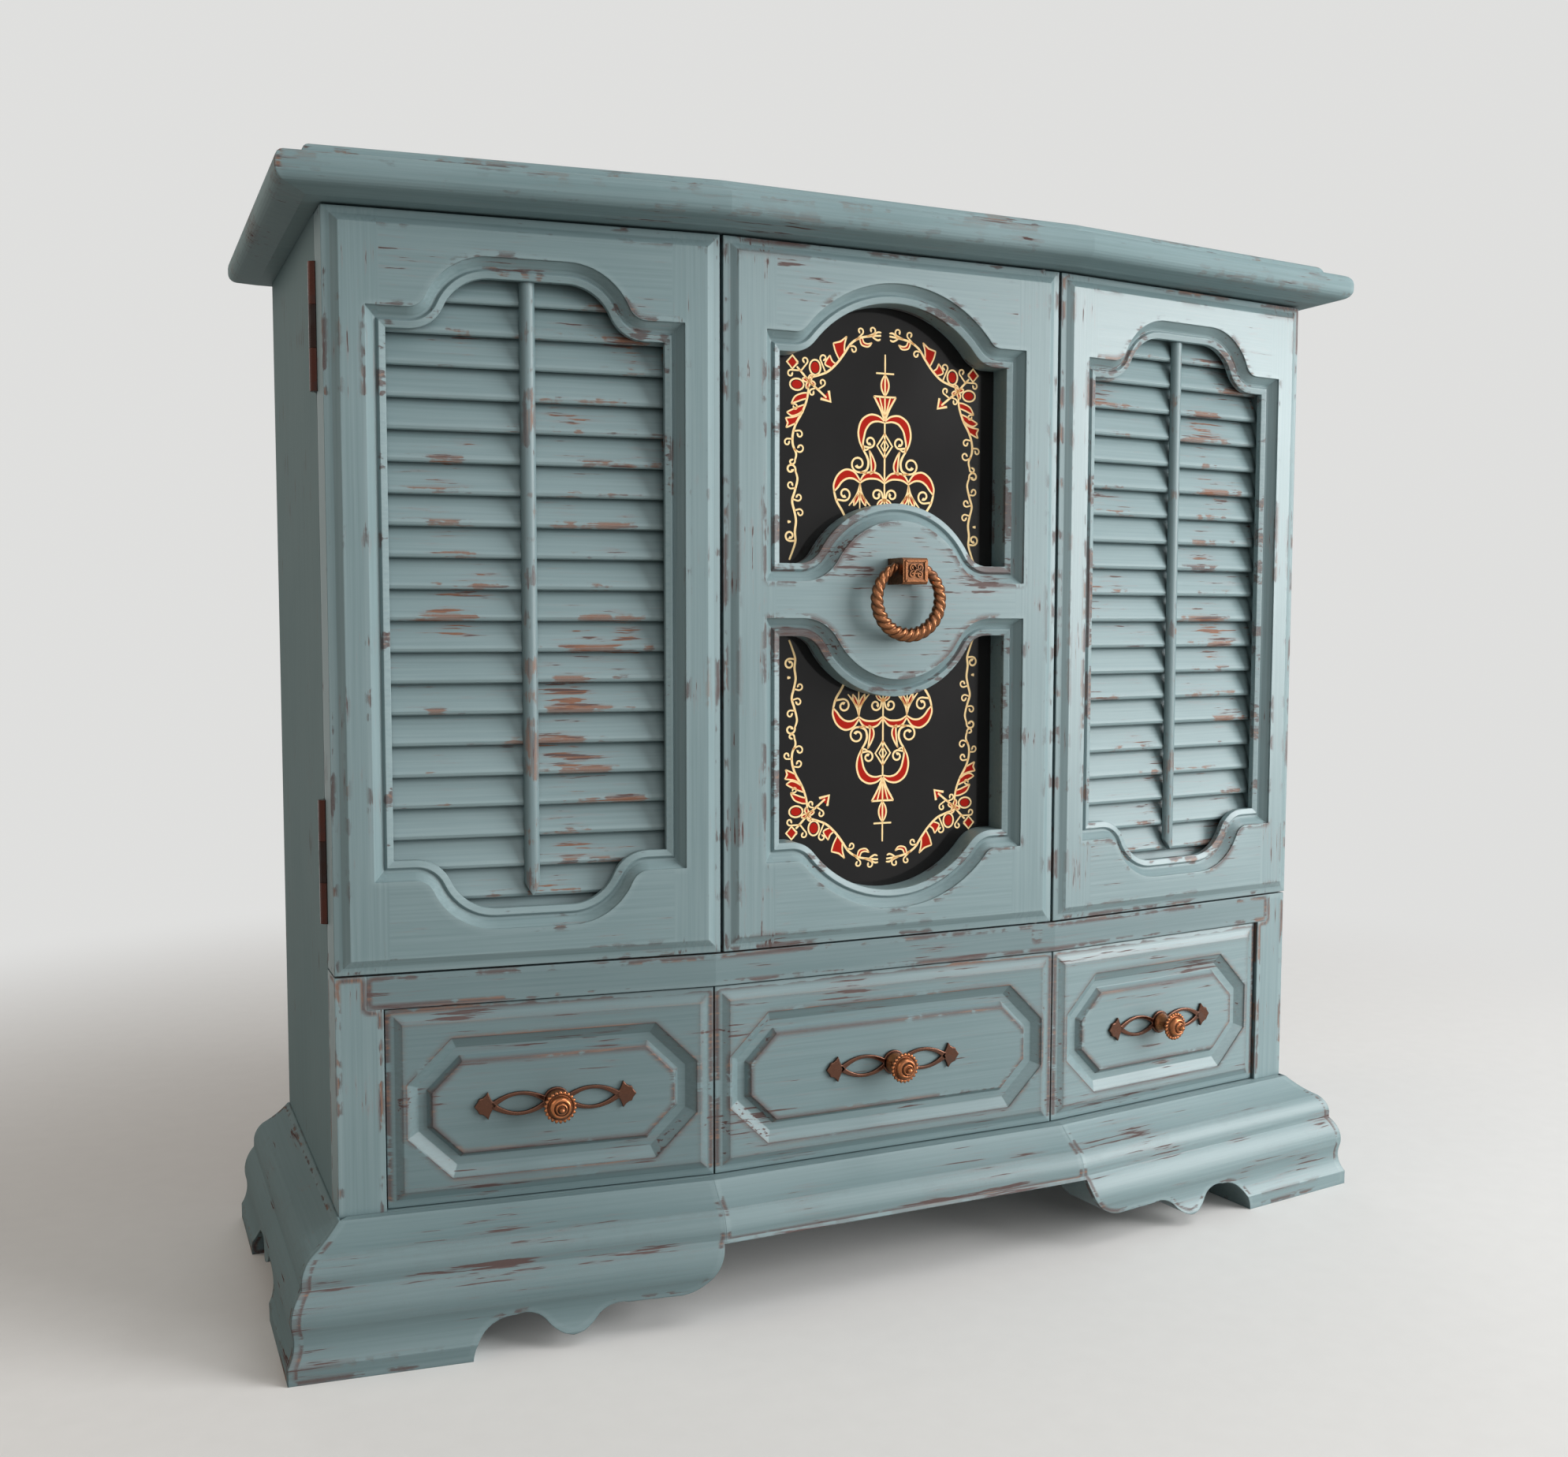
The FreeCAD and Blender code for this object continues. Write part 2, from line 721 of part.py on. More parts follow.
base_facet = (half_width - base_bend) * cant_stretch
board_reach = base_facet + plinth_overhang * 2
for side in (-1, 1):
    board = new_body("base_front_" + side_name(side))
    # The board's own origin is at the bend, and the board runs outwards from it
    section = draw(board, "YZ_Plane", board.Label + "_section", base_profile(body_setback, -1))
    pad(board, section, board_reach, side < 0)
    pad(board, section, plinth_overhang, side > 0)
    foot_end = base_facet + plinth_overhang * corner_mitre - front_foot
    cut_out = draw(board, "XZ_Plane", board.Label + "_scroll", [
        *scroll(scroll_shares, side * foot_end, foot_end, apron_height, -side),
        (-side * board_reach, apron_height),
        (-side * board_reach, -overrun),
        (side * foot_end, -overrun),
    ])
    pocket(board, cut_out)
    inward = body_setback + overrun
    outward = plinth_overhang + overrun
    bend_mitre_cut = draw(board, "XY_Plane", board.Label + "_bend_mitre", [
        (-side * outward * bend_mitre, -outward),
        (-side * board_reach, -outward),
        (-side * board_reach, inward),
        (side * inward * bend_mitre, inward),
    ])
    pocket(board, bend_mitre_cut)
    corner_cut = draw(board, "XY_Plane", board.Label + "_corner_mitre", [
        (side * (base_facet + outward * corner_mitre), -outward),
        (side * board_reach * 2, -outward),
        (side * board_reach * 2, inward),
        (side * (base_facet - inward * corner_mitre), inward),
    ])
    pocket(board, corner_cut)
    place(board, side * base_bend, zero, zero, side * cant)
    keep(board)

centre_board = new_body("base_front_centre")
section = draw(centre_board, "YZ_Plane", "base_front_centre_section", base_profile(body_setback, -1))
pad(centre_board, section, base_bend + plinth_overhang)
pad(centre_board, section, base_bend + plinth_overhang, True)
apron_cut = draw(centre_board, "XZ_Plane", "base_front_centre_apron", rectangle(
    -base_bend * 2, -overrun, base_bend * 2, apron_height))
pocket(centre_board, apron_cut)
for side in (-1, 1):
    mitre_cut = draw(centre_board, "XY_Plane", "base_front_centre_mitre_" + side_name(side), [
        (side * (base_bend + outward * bend_mitre), -outward),
        (side * base_bend * 2, -outward),
        (side * base_bend * 2, inward),
        (side * (base_bend - inward * bend_mitre), inward),
    ])
    pocket(centre_board, mitre_cut)
place(centre_board, zero, zero, zero)
keep(centre_board)

corner_back = facet_line(half_width, zero, base_bend)
side_board_length = carcass_depth - corner_back
for side in (-1, 1):
    board = new_body("base_side_" + side_name(side))
    # The board's own origin is at the front corner of the carcass, at the side's face
    section = draw(board, "XZ_Plane", board.Label + "_section", base_profile(zero, side))
    pad(board, section, side_board_length, True)
    pad(board, section, plinth_overhang * 2)
    front_end = side_front_foot - plinth_overhang * corner_mitre
    cut_length = side_board_length - side_back_foot - front_end
    cut_out = draw(board, "YZ_Plane", board.Label + "_scroll", [
        *scroll(side_scroll_shares, front_end, cut_length, apron_height, 1),
        (front_end + cut_length, -overrun),
        (front_end, -overrun),
    ])
    pocket(board, cut_out)
    mitre_cut = draw(board, "XY_Plane", board.Label + "_mitre", [
        (-side * overrun, overrun * corner_mitre),
        (side * outward, -outward * corner_mitre),
        (side * outward, -outward * 3),
        (-side * overrun, -outward * 3),
    ])
    pocket(board, mitre_cut)
    place(board, side * half_width, corner_back, zero)
    keep(board)


# Shared helpers for doors, drawers and their fittings

def block(name, start, end):
    """A box between two corners, in whatever frame it is used in."""
    made = doc.addObject("Part::Box", name)
    made.Label = name
    for prop, letter, first, second in zip(("Length", "Width", "Height"), "xyz", start, end):
        low, high = (first, second) if first < second else (second, first)
        bind(made, prop, high - low)
        setattr(made.Placement.Base, letter, float(low))
        made.setExpression(".Placement.Base." + letter, low.text)
    return made


def rod(name, radius, length, across, back, up, direction):
    """A small round bar from a point along a direction, in whatever frame it is used in."""
    made = doc.addObject("Part::Prism", name)
    made.Label = name
    made.Polygon = round_sides
    bind(made, "Circumradius", radius)
    bind(made, "Height", length)
    made.Placement = Placement(Vector(across, back, up), Rotation(Vector(0, 0, 1), direction))
    for letter, size in zip("xyz", (across, back, up)):
        made.setExpression(".Placement.Base." + letter, size.text)
    return made


def panel_end(side, width, end, behind):
    """Where a panel's end (-1 or 1) lies at a depth: the ends of canted panels face straight."""
    return width / 2 * end + behind * cant_slope * side


def face_panel(name, side, width, height, thickness, bevel_width, bevel_depth, bevel_hollow):
    """A door or drawer front with a hollow bevel round its face."""
    body = new_body(name)
    outline = draw(body, "XY_Plane", name + "_outline", [
        (panel_end(side, width, -1, zero), zero),
        (panel_end(side, width, 1, zero), zero),
        (panel_end(side, width, 1, thickness), thickness),
        (panel_end(side, width, -1, thickness), thickness),
    ])
    pad(body, outline, height)
    for end in (-1, 1):
        corner = panel_end(side, width, end, zero)
        bevel = draw(body, "XY_Plane", name + "_end_bevel", [
            (corner - bevel_width * end, -overrun),
            (corner + overrun * end, -overrun),
            (corner + overrun * end, bevel_depth),
            (panel_end(side, width, end, bevel_depth), bevel_depth),
            (corner - bevel_width / 2 * end, bevel_depth / 2 + bevel_hollow),
            (corner - bevel_width * end, zero),
        ])
        pocket(body, bevel)
        level = height if end > 0 else zero
        bevel = draw(body, "YZ_Plane", name + "_long_bevel", [
            (-overrun, level + overrun * end),
            (bevel_depth, level + overrun * end),
            (bevel_depth, level),
            (bevel_depth / 2 + bevel_hollow, level - bevel_width / 2 * end),
            (zero, level - bevel_width * end),
            (-overrun, level - bevel_width * end),
        ])
        pocket(body, bevel)
    return body


def flip(segments, across, up):
    """Mirror a run of (start, middle, end) segments and turn it round."""
    return [tuple(point and (point[0] * across, point[1] * up) for point in reversed(segment))
            for segment in reversed(segments)]


def polar(centre, radius, angle):
    return (centre[0] + radius * math.cos(angle), centre[1] + radius * math.sin(angle))


def arc(centre, radius, first, last):
    return (polar(centre, radius, first), polar(centre, radius, (first + last) / 2),
            polar(centre, radius, last))


def shoulder_arch(half, shoulder, reach, rise, cove_radius, arch_radius, inset):
    """The right half of a shouldered arch: wall top, shoulder, cove, then the arch to the middle.

    The shoulder is as long as the reach, or leaves one single arch if that is None.
    """
    drop = cove_radius + arch_radius - rise
    spread = math.sqrt((cove_radius + arch_radius) ** 2 - drop ** 2)
    cove = (spread if reach is None else half - reach, shoulder + cove_radius)
    crown = (cove[0] - spread, shoulder + rise - arch_radius)
    meeting = math.atan2(crown[1] - cove[1], crown[0] - cove[0])
    path = [((half - inset, shoulder - inset), None, (cove[0], shoulder - inset)),
            arc(cove, cove_radius + inset, -math.pi / 2, meeting),
            arc(crown, arch_radius - inset, meeting + math.pi, math.pi / 2)]
    if reach is not None:
        path.append((path[-1][2], None, (0, shoulder + rise - inset)))
    return path


def boss_edge(half, inset):
    """The right half of the mid-rail's upper edge: boss, cove, then the band to the wall."""
    cove = (0, rail_half_band + boss_cove_radius)
    total = boss_radius + boss_cove_radius
    cove = (math.sqrt(total ** 2 - cove[1] ** 2), cove[1])
    meeting = math.atan2(cove[1], cove[0])
    return [arc((0, 0), boss_radius + inset, math.pi / 2, meeting),
            arc(cove, boss_cove_radius - inset, meeting - math.pi, -math.pi / 2),
            ((cove[0], rail_half_band + inset), None, (half - inset, rail_half_band + inset))]


def wire(segments, depth, middle):
    edges = []
    for start, through, end in segments:
        corners = [Vector(point[0], depth, middle + point[1]) for point in (start, through, end) if point]
        edges.append(Part.Arc(*corners).toShape() if through else Part.makeLine(*corners))
    return Part.Wire(edges)


def loft(outline, levels, middle):
    """A ruled solid through an outline at several (inset, depth) levels."""
    return Part.makeLoft([wire(outline(inset), float(depth), float(middle)) for inset, depth in levels],
                         True, True)


# The opening's moulding: a quirk, a steep fall to a valley, then a raised lip. Each line has
# the share of the width, and of the quirk and of the full depth at that place
moulding_shares = ((0.0, 1.0, 0.0), (0.38, 0.0, 0.86), (0.52, 0.0, 1.0), (0.66, 0.0, 0.72), (1.0, 0.0, 0.9))


def moulding_levels(deep):
    levels = [(0.0, -overrun)]
    for along, at_quirk, at_floor in moulding_shares:
        levels.append((moulding_width * along, moulding_quirk * at_quirk + moulding_depth * at_floor))
    levels.append((moulding_width, deep))
    return levels


# Doors: each is built in the frame of its own face, and its height starts at its lower edge
near_edge = door_bend + door_joint / 2
side_door_width = (half_width - near_edge) * cant_stretch
centre_door_width = (door_bend - door_joint / 2) * 2
side_door_middle = (half_width + near_edge) / 2
half = side_door_width / 2 - side_door_margin
centre_half = centre_door_width / 2 - centre_door_margin
# The arches keep their form when a door gets wider: shoulder, rise, cove and arch, as
# shares of half the opening
side_arch_shares = (0.2508, 0.3344, 0.1212, 0.4327)
side_shoulder, side_arch_rise, side_cove_radius, side_arch_radius = [half * part for part in side_arch_shares]
centre_arch_shares = (0.3768, 0.0994, 0.9193)
centre_arch_rise, centre_cove_radius, centre_arch_radius = [centre_half * part for part in centre_arch_shares]
boss_shares = (0.5445, 0.2981)
boss_radius, boss_cove_radius = [centre_half * part for part in boss_shares]
pin_back = door_thickness + hinge_gap / 2
leaf_parts = {"door": (1,), "frame": (0, 2)}
knuckle_height = (hinge_length - knuckle_gap * (knuckle_count - 1)) / knuckle_count
door_half_height = door_height / 2
shoulder_up = door_half_height - shoulder_margin
magnet_low = (door_height - magnet_height) / 2


def door_place(thing, side):
    face_place(thing, side, side_door_middle, zero, door_bend, door_bottom)


def hinge_leaves(name, side, kind):
    """The two leaves of one door's hinges that belong to the door or to the case."""
    axis = panel_end(side, side_door_width, side, pin_back)
    back = pin_back + leaf_clearance if kind == "frame" else pin_back - leaf_clearance - leaf_thickness
    web_end = axis - (knuckle_radius + knuckle_room) * side
    leaves = []
    for low in hinge_levels:
        pieces = [block(name + "_plate", (web_end, back, low),
                        (axis - leaf_width * side, back + leaf_thickness, low + hinge_length))]
        for number in leaf_parts[kind]:
            knuckle_low = low + (knuckle_height + knuckle_gap) * number
            pieces.append(block(name + "_web", (axis, back, knuckle_low),
                                (web_end, back + leaf_thickness, knuckle_low + knuckle_height)))
            pieces.append(rod(name + "_knuckle", knuckle_radius, knuckle_height, axis, pin_back,
                              knuckle_low, Vector(0, 0, 1)))
        solid = combine("Part::MultiFuse", name + "_leaf", pieces)
        bore = rod(name + "_bore", (pin_radius + pin_clearance) * hole_share, hinge_length + overrun * 2,
                   axis, pin_back, low - overrun, Vector(0, 0, 1))
        leaves.append(combine("Part::Cut", name + "_bored", (solid, bore)))
    made = combine("Part::Compound", name, leaves)
    door_place(made, side)
    return made


def strike(side, name, width):
    """The steel plate let into the back of a door near its free edge."""
    free = -side if side else -1
    across = panel_end(side, width, free, door_thickness) - (magnet_offset - door_joint / 2) * free
    plate_start = (across - magnet_width / 2, door_thickness - strike_thickness, magnet_low)
    plate_end = (across + magnet_width / 2, door_thickness, magnet_low + magnet_height)
    return block(name, plate_start, plate_end)


pins = []
for side in (-1, 1):
    name = side_name(side)
    slab_body = face_panel(name + "_door_slab", side, side_door_width, door_height, door_thickness,
                           edge_bevel_width, edge_bevel_depth, edge_bevel_hollow)
    axis = panel_end(side, side_door_width, side, pin_back)
    leaf_back = pin_back - leaf_clearance - leaf_thickness
    for low in hinge_levels:
        recess = draw(slab_body, "XY_Plane", name + "_leaf_recess", rectangle(
            axis + overrun * side, leaf_back, axis - (leaf_width + leaf_clearance) * side,
            door_thickness + overrun), level=low - leaf_clearance)
        pocket(slab_body, recess, hinge_length + leaf_clearance * 2, True)
        room = draw(slab_body, "XY_Plane", name + "_knuckle_recess", rectangle(
            axis + overrun * side, pin_back - knuckle_radius - knuckle_room,
            axis - (knuckle_radius + knuckle_room) * side, door_thickness + overrun),
            level=low - leaf_clearance)
        pocket(slab_body, room, hinge_length + leaf_clearance * 2, True)
        pins.append(rod(name + "_pin", pin_radius, hinge_length, axis, pin_back, low, Vector(0, 0, 1)))

    def opening(inset):
        quarter = shoulder_arch(half, shoulder_up, side_shoulder, side_arch_rise, side_cove_radius,
                                side_arch_radius, inset)
        quarter.insert(0, ((half - inset, 0), None, quarter[0][0]))
        upper = quarter + flip(quarter, -1, 1)
        return upper + flip(upper, 1, -1)

    inner_half = half - moulding_width
    cutter = feature(name + "_opening", loft(
        opening, moulding_levels((front_web + door_thickness) / 2), door_half_height))
    rebate = block(name + "_rebate", (-inner_half - rebate_side_step, front_web, rebate_margin),
                   (inner_half + rebate_side_step, door_thickness + overrun, door_height - rebate_margin))
    strike_room = strike(side, name + "_strike_room", side_door_width)
    cutters = combine("Part::MultiFuse", name + "_cutters", [cutter, rebate, strike_room])
    frame = combine("Part::Cut", name + "_door_frame", (slab_body, cutters))
    door_place(frame, side)

    slat = new_body(name + "_louvres")
    slat_length = Size(math.hypot(slat_rise, slat_run),
                       "sqrt(" + slat_rise.text + " ^ 2 + " + slat_run.text + " ^ 2)")
    rise_share = slat_rise / slat_length
    run_share = slat_run / slat_length

    def slat_corner(along, deep):
        return (slat_front + along * run_share + deep * rise_share,
                slat_start + along * rise_share - deep * run_share)

    section = draw(slat, "YZ_Plane", name + "_slat_section", [
        slat_corner(zero, zero),
        slat_corner(slat_length, zero),
        slat_corner(slat_length, slat_thickness),
        slat_corner(zero, slat_thickness),
        slat_corner(-slat_nose, slat_thickness * nose_share),
        slat_corner(-slat_nose, slat_thickness * (1 - nose_share)),
    ])
    first_slat = pad(slat, section, (inner_half + rebate_side_step) * 2)
    first_slat.SideType = "Symmetric"
    rows = slat.newObject("PartDesign::LinearPattern", name + "_slats")
    rows.Originals = [first_slat]
    rows.Direction = (origin_plane(slat, "Z_Axis"), [""])
    rows.Occurrences = slat_count
    bind(rows, "Length", slat_pitch * (slat_count - 1))
    slat.Tip = rows
    door_place(slat, side)

    stick = new_body(name + "_tilt_rod")
    rod_low = shoulder_margin - side_arch_rise + moulding_width + rod_lift
    rod_high = door_height - shoulder_margin + side_arch_rise - moulding_width
    section = draw(stick, "XY_Plane", name + "_rod_section", [
        (-rod_half_width, slat_front, rod_depth), (rod_half_width, slat_front)])
    pad(stick, section, rod_high - rod_low)
    point_cut = draw(stick, "XZ_Plane", name + "_rod_point",
                     [(zero, -overrun), (-rod_half_width * 2, -overrun), (-rod_half_width * 2, rod_point),
                      (-rod_half_width, rod_point), (zero, zero)],
                     [(zero, -overrun), (rod_half_width * 2, -overrun), (rod_half_width * 2, rod_point),
                      (rod_half_width, rod_point), (zero, zero)])
    pocket(stick, point_cut)
    door_place(stick, side)
    stick.Placement.Base.z = door_bottom + rod_low
    stick.setExpression(".Placement.Base.z", (door_bottom + rod_low).text)

    strike_plate = strike(side, name + "_strike_plate", side_door_width)
    holder = combine("Part::Compound", name + "_door_strike", [strike_plate])
    door_place(holder, side)
    keep(frame, slat, stick, hinge_leaves(name + "_door_leaves", side, "door"), holder,
         hinge_leaves(name + "_frame_leaves", side, "frame"))

hinge_pins = []
for side in (-1, 1):
    group = combine("Part::Compound", side_name(side) + "_hinge_pins",
                    [pin for pin in pins if pin.Label.startswith(side_name(side))])
    door_place(group, side)
    hinge_pins.append(group)
keep(combine("Part::Compound", "hinge_pins", hinge_pins))

# Centre door: two glazed openings, with a round boss on the rail between them
half = centre_half
slab_body = face_panel("centre_door_slab", 0, centre_door_width, door_height, door_thickness,
                       edge_bevel_width, edge_bevel_depth, edge_bevel_hollow)


def pane_opening(inset):
    right = [((half - inset, rail_half_band + inset), None, (half - inset, shoulder_up - inset))]
    right = boss_edge(half, inset) + right + shoulder_arch(
        half, shoulder_up, None, centre_arch_rise, centre_cove_radius, centre_arch_radius, inset)
    return right + flip(right, -1, 1)


def lower_pane_opening(inset):
    return flip(pane_opening(inset), 1, -1)


cutters = [feature("pane_opening", loft(pane, moulding_levels((glass_front + door_thickness) / 2),
                                        door_half_height)) for pane in (pane_opening, lower_pane_opening)]
glass_half = half - moulding_width + glass_lap
glass_low = shoulder_margin - centre_arch_rise + moulding_width - glass_lap
cutters.append(block("glass_rebate", (-glass_half, glass_front, glass_low),
                     (glass_half, door_thickness + overrun, door_height - glass_low)))
cutters.append(strike(0, "strike_room", centre_door_width))
for low in (-overrun, door_height - pivot_reach - pivot_end_room):
    bore_depth = pivot_reach + pivot_end_room + overrun
    cutters.append(rod("pivot_bore", (pivot_radius + pin_clearance) * hole_share, bore_depth,
                       pivot_across, pivot_inset, low, Vector(0, 0, 1)))
ring_up = door_half_height
ring_pin_height = Size(math.sqrt(ring_radius ** 2 - (ring_block_width / 2 + ring_side_gap) ** 2),
                       "sqrt(" + ring_radius.text + " ^ 2 - (" +
                       (ring_block_width / 2 + ring_side_gap).text + ") ^ 2)")
ring_pin_up = ring_up + ring_pin_height
cutters.append(rod("ring_bolt_hole", (ring_bolt + seat_clearance) * hole_share, ring_bolt_reach + overrun,
                   zero, -overrun, ring_pin_up, Vector(0, 1, 0)))
cutters = combine("Part::MultiFuse", "centre_cutters", cutters)
frame = combine("Part::Cut", "centre_door_frame", (slab_body, cutters))
door_place(frame, 0)
glass = block("pane", (-glass_half, glass_front, glass_low),
              (glass_half, glass_front + glass_thickness, door_height - glass_low))
backing = block("panel", (-glass_half, glass_front + glass_thickness, glass_low),
                (glass_half, glass_front + glass_thickness + backing_thickness, door_height - glass_low))
centre_parts = [frame]
for name, solid in (("centre_glass", glass), ("centre_backing", backing),
                    ("centre_door_strike", strike(0, "plate", centre_door_width))):
    centre_parts.append(combine("Part::Compound", name, [solid]))
    door_place(centre_parts[-1], 0)
keep(*centre_parts)

# Ring pull: a block bolted to the boss, and a ring whose straight pin turns in it
ring_block = new_body("ring_block")
block_top = ring_pin_up + ring_block_above
section = draw(ring_block, "YZ_Plane", "ring_block_section", [
    (zero, block_top - ring_block_height),
    (zero, block_top),
    (ring_block_chamfer - ring_block_depth, block_top),
    (-ring_block_depth, block_top - ring_block_chamfer),
    (-ring_block_depth, block_top - ring_block_height + ring_block_chamfer),
    (ring_block_chamfer - ring_block_depth, block_top - ring_block_height),
])
pad(ring_block, section, ring_block_width).SideType = "Symmetric"
bolt = draw(ring_block, "XZ_Plane", "ring_bolt", round_path(zero, ring_pin_up, ring_bolt))
pad(ring_block, bolt, ring_bolt_reach, True)
pin_hole = draw(ring_block, "YZ_Plane", "ring_pin_hole", round_path(
    -ring_setout, ring_pin_up, (ring_pin + pin_clearance) * hole_share))
pocket(ring_block, pin_hole)
door_place(ring_block, 0)
keep(ring_block)

gap_half = ring_block_width / 2 + ring_side_gap
hoop_start = math.asin(gap_half / ring_radius) / 2
hoop_steps = 18
hoop_sides = 8
hoop_rings = []
for number in range(hoop_steps + 1):
    turn = hoop_start + (math.pi - hoop_start) * 2 * number / hoop_steps
    out = Vector(math.sin(turn), 0, math.cos(turn))
    middle = out * float(ring_radius) + Vector(0, -ring_setout, ring_up)
    hoop_rings.append([
        middle + out * (ring_wire * math.cos(2 * math.pi * corner / hoop_sides))
        + Vector(0, ring_wire * math.sin(2 * math.pi * corner / hoop_sides), 0)
        for corner in range(hoop_sides)])
hoop = faceted("hoop", hoop_rings)
gap = block("hoop_gap", (-gap_half, -ring_setout - ring_radius, ring_up),
            (gap_half, -ring_setout + ring_radius, ring_up + ring_radius * 2))
split_hoop = combine("Part::Cut", "split_hoop", (hoop, gap))
pin = rod("hoop_pin", ring_pin, (gap_half + ring_pin_lap) * 2, -gap_half - ring_pin_lap, -ring_setout,
          ring_pin_up, Vector(1, 0, 0))
ring = combine("Part::MultiFuse", "ring_pull", [split_hoop, pin])
door_place(ring, 0)
keep(ring)

slab_hole = rod("slab_pivot_hole", (pivot_radius + seat_clearance) * hole_share, pivot_reach + overrun,
                pivot_across, pivot_inset - middle_y, case_top - overrun, Vector(0, 0, 1))
keep(combine("Part::Cut", "top_slab", (slab, slab_hole)))

# Magnets in the partitions' front edges, and pivot pins in the rail and under the top
magnets = []
for side, offset in ((-1, 1), (-1, -1), (1, 1)):
    across = (door_bend + magnet_offset * offset) * side
    start = (across - magnet_width / 2, partition_setback - middle_y, door_bottom + magnet_low)
    magnets.append(block("magnet", start, (across + magnet_width / 2, start[1] + magnet_length,
                                           start[2] + magnet_height)))
keep(combine("Part::Compound", "door_magnets", magnets))
for side in (-1, 1):
    whole = box("partition", door_bend * side - partition_thickness / 2, partition_setback, deck_top,
                partition_thickness, back_inner - partition_setback, case_top - deck_top)
    recesses = combine("Part::Compound", "magnet_recesses",
                       [magnet for magnet in magnets if (magnet.Placement.Base.x > 0) == (side > 0)])
    keep(combine("Part::Cut", side_name(side) + "_partition", (whole, recesses)))

pivot_back = pivot_inset - middle_y
pivots = [rod("pivot", pivot_radius, pivot_reach * 2 + door_clearance, pivot_across, pivot_back, low,
              Vector(0, 0, 1)) for low in (deck_top - pivot_reach, door_top - pivot_reach)]
keep(combine("Part::Compound", "pivot_pins", pivots))


# Drawers

def octagon(width, low, high, corner):
    """Segments of an octagon with equal corner cuts, pulled in by an inset."""
    def outline(inset):
        cut = corner - inset * (2 - math.sqrt(2))
        right, left = width / 2 - inset, -width / 2 + inset
        bottom, top = low + inset, high - inset
        corners = [(left + cut, bottom), (right - cut, bottom), (right, bottom + cut), (right, top - cut),
                   (right - cut, top), (left + cut, top), (left, top - cut), (left, bottom + cut)]
        return [(corners[i], None, corners[(i + 1) % 8]) for i in range(8)]
    return outline


def leaf_path(start, end, bow, way):
    """A pointed leaf as corners, from one tip to the other and back."""
    length = end - start
    shares = ((0.0, 0.0), (0.22, 0.7), (0.5, 1.0), (0.78, 0.7),
              (1.0, 0.0), (0.78, -0.7), (0.5, -1.0), (0.22, -0.7))
    return [((start + length * along) * way, pull_up + bow * up) for along, up in shares]


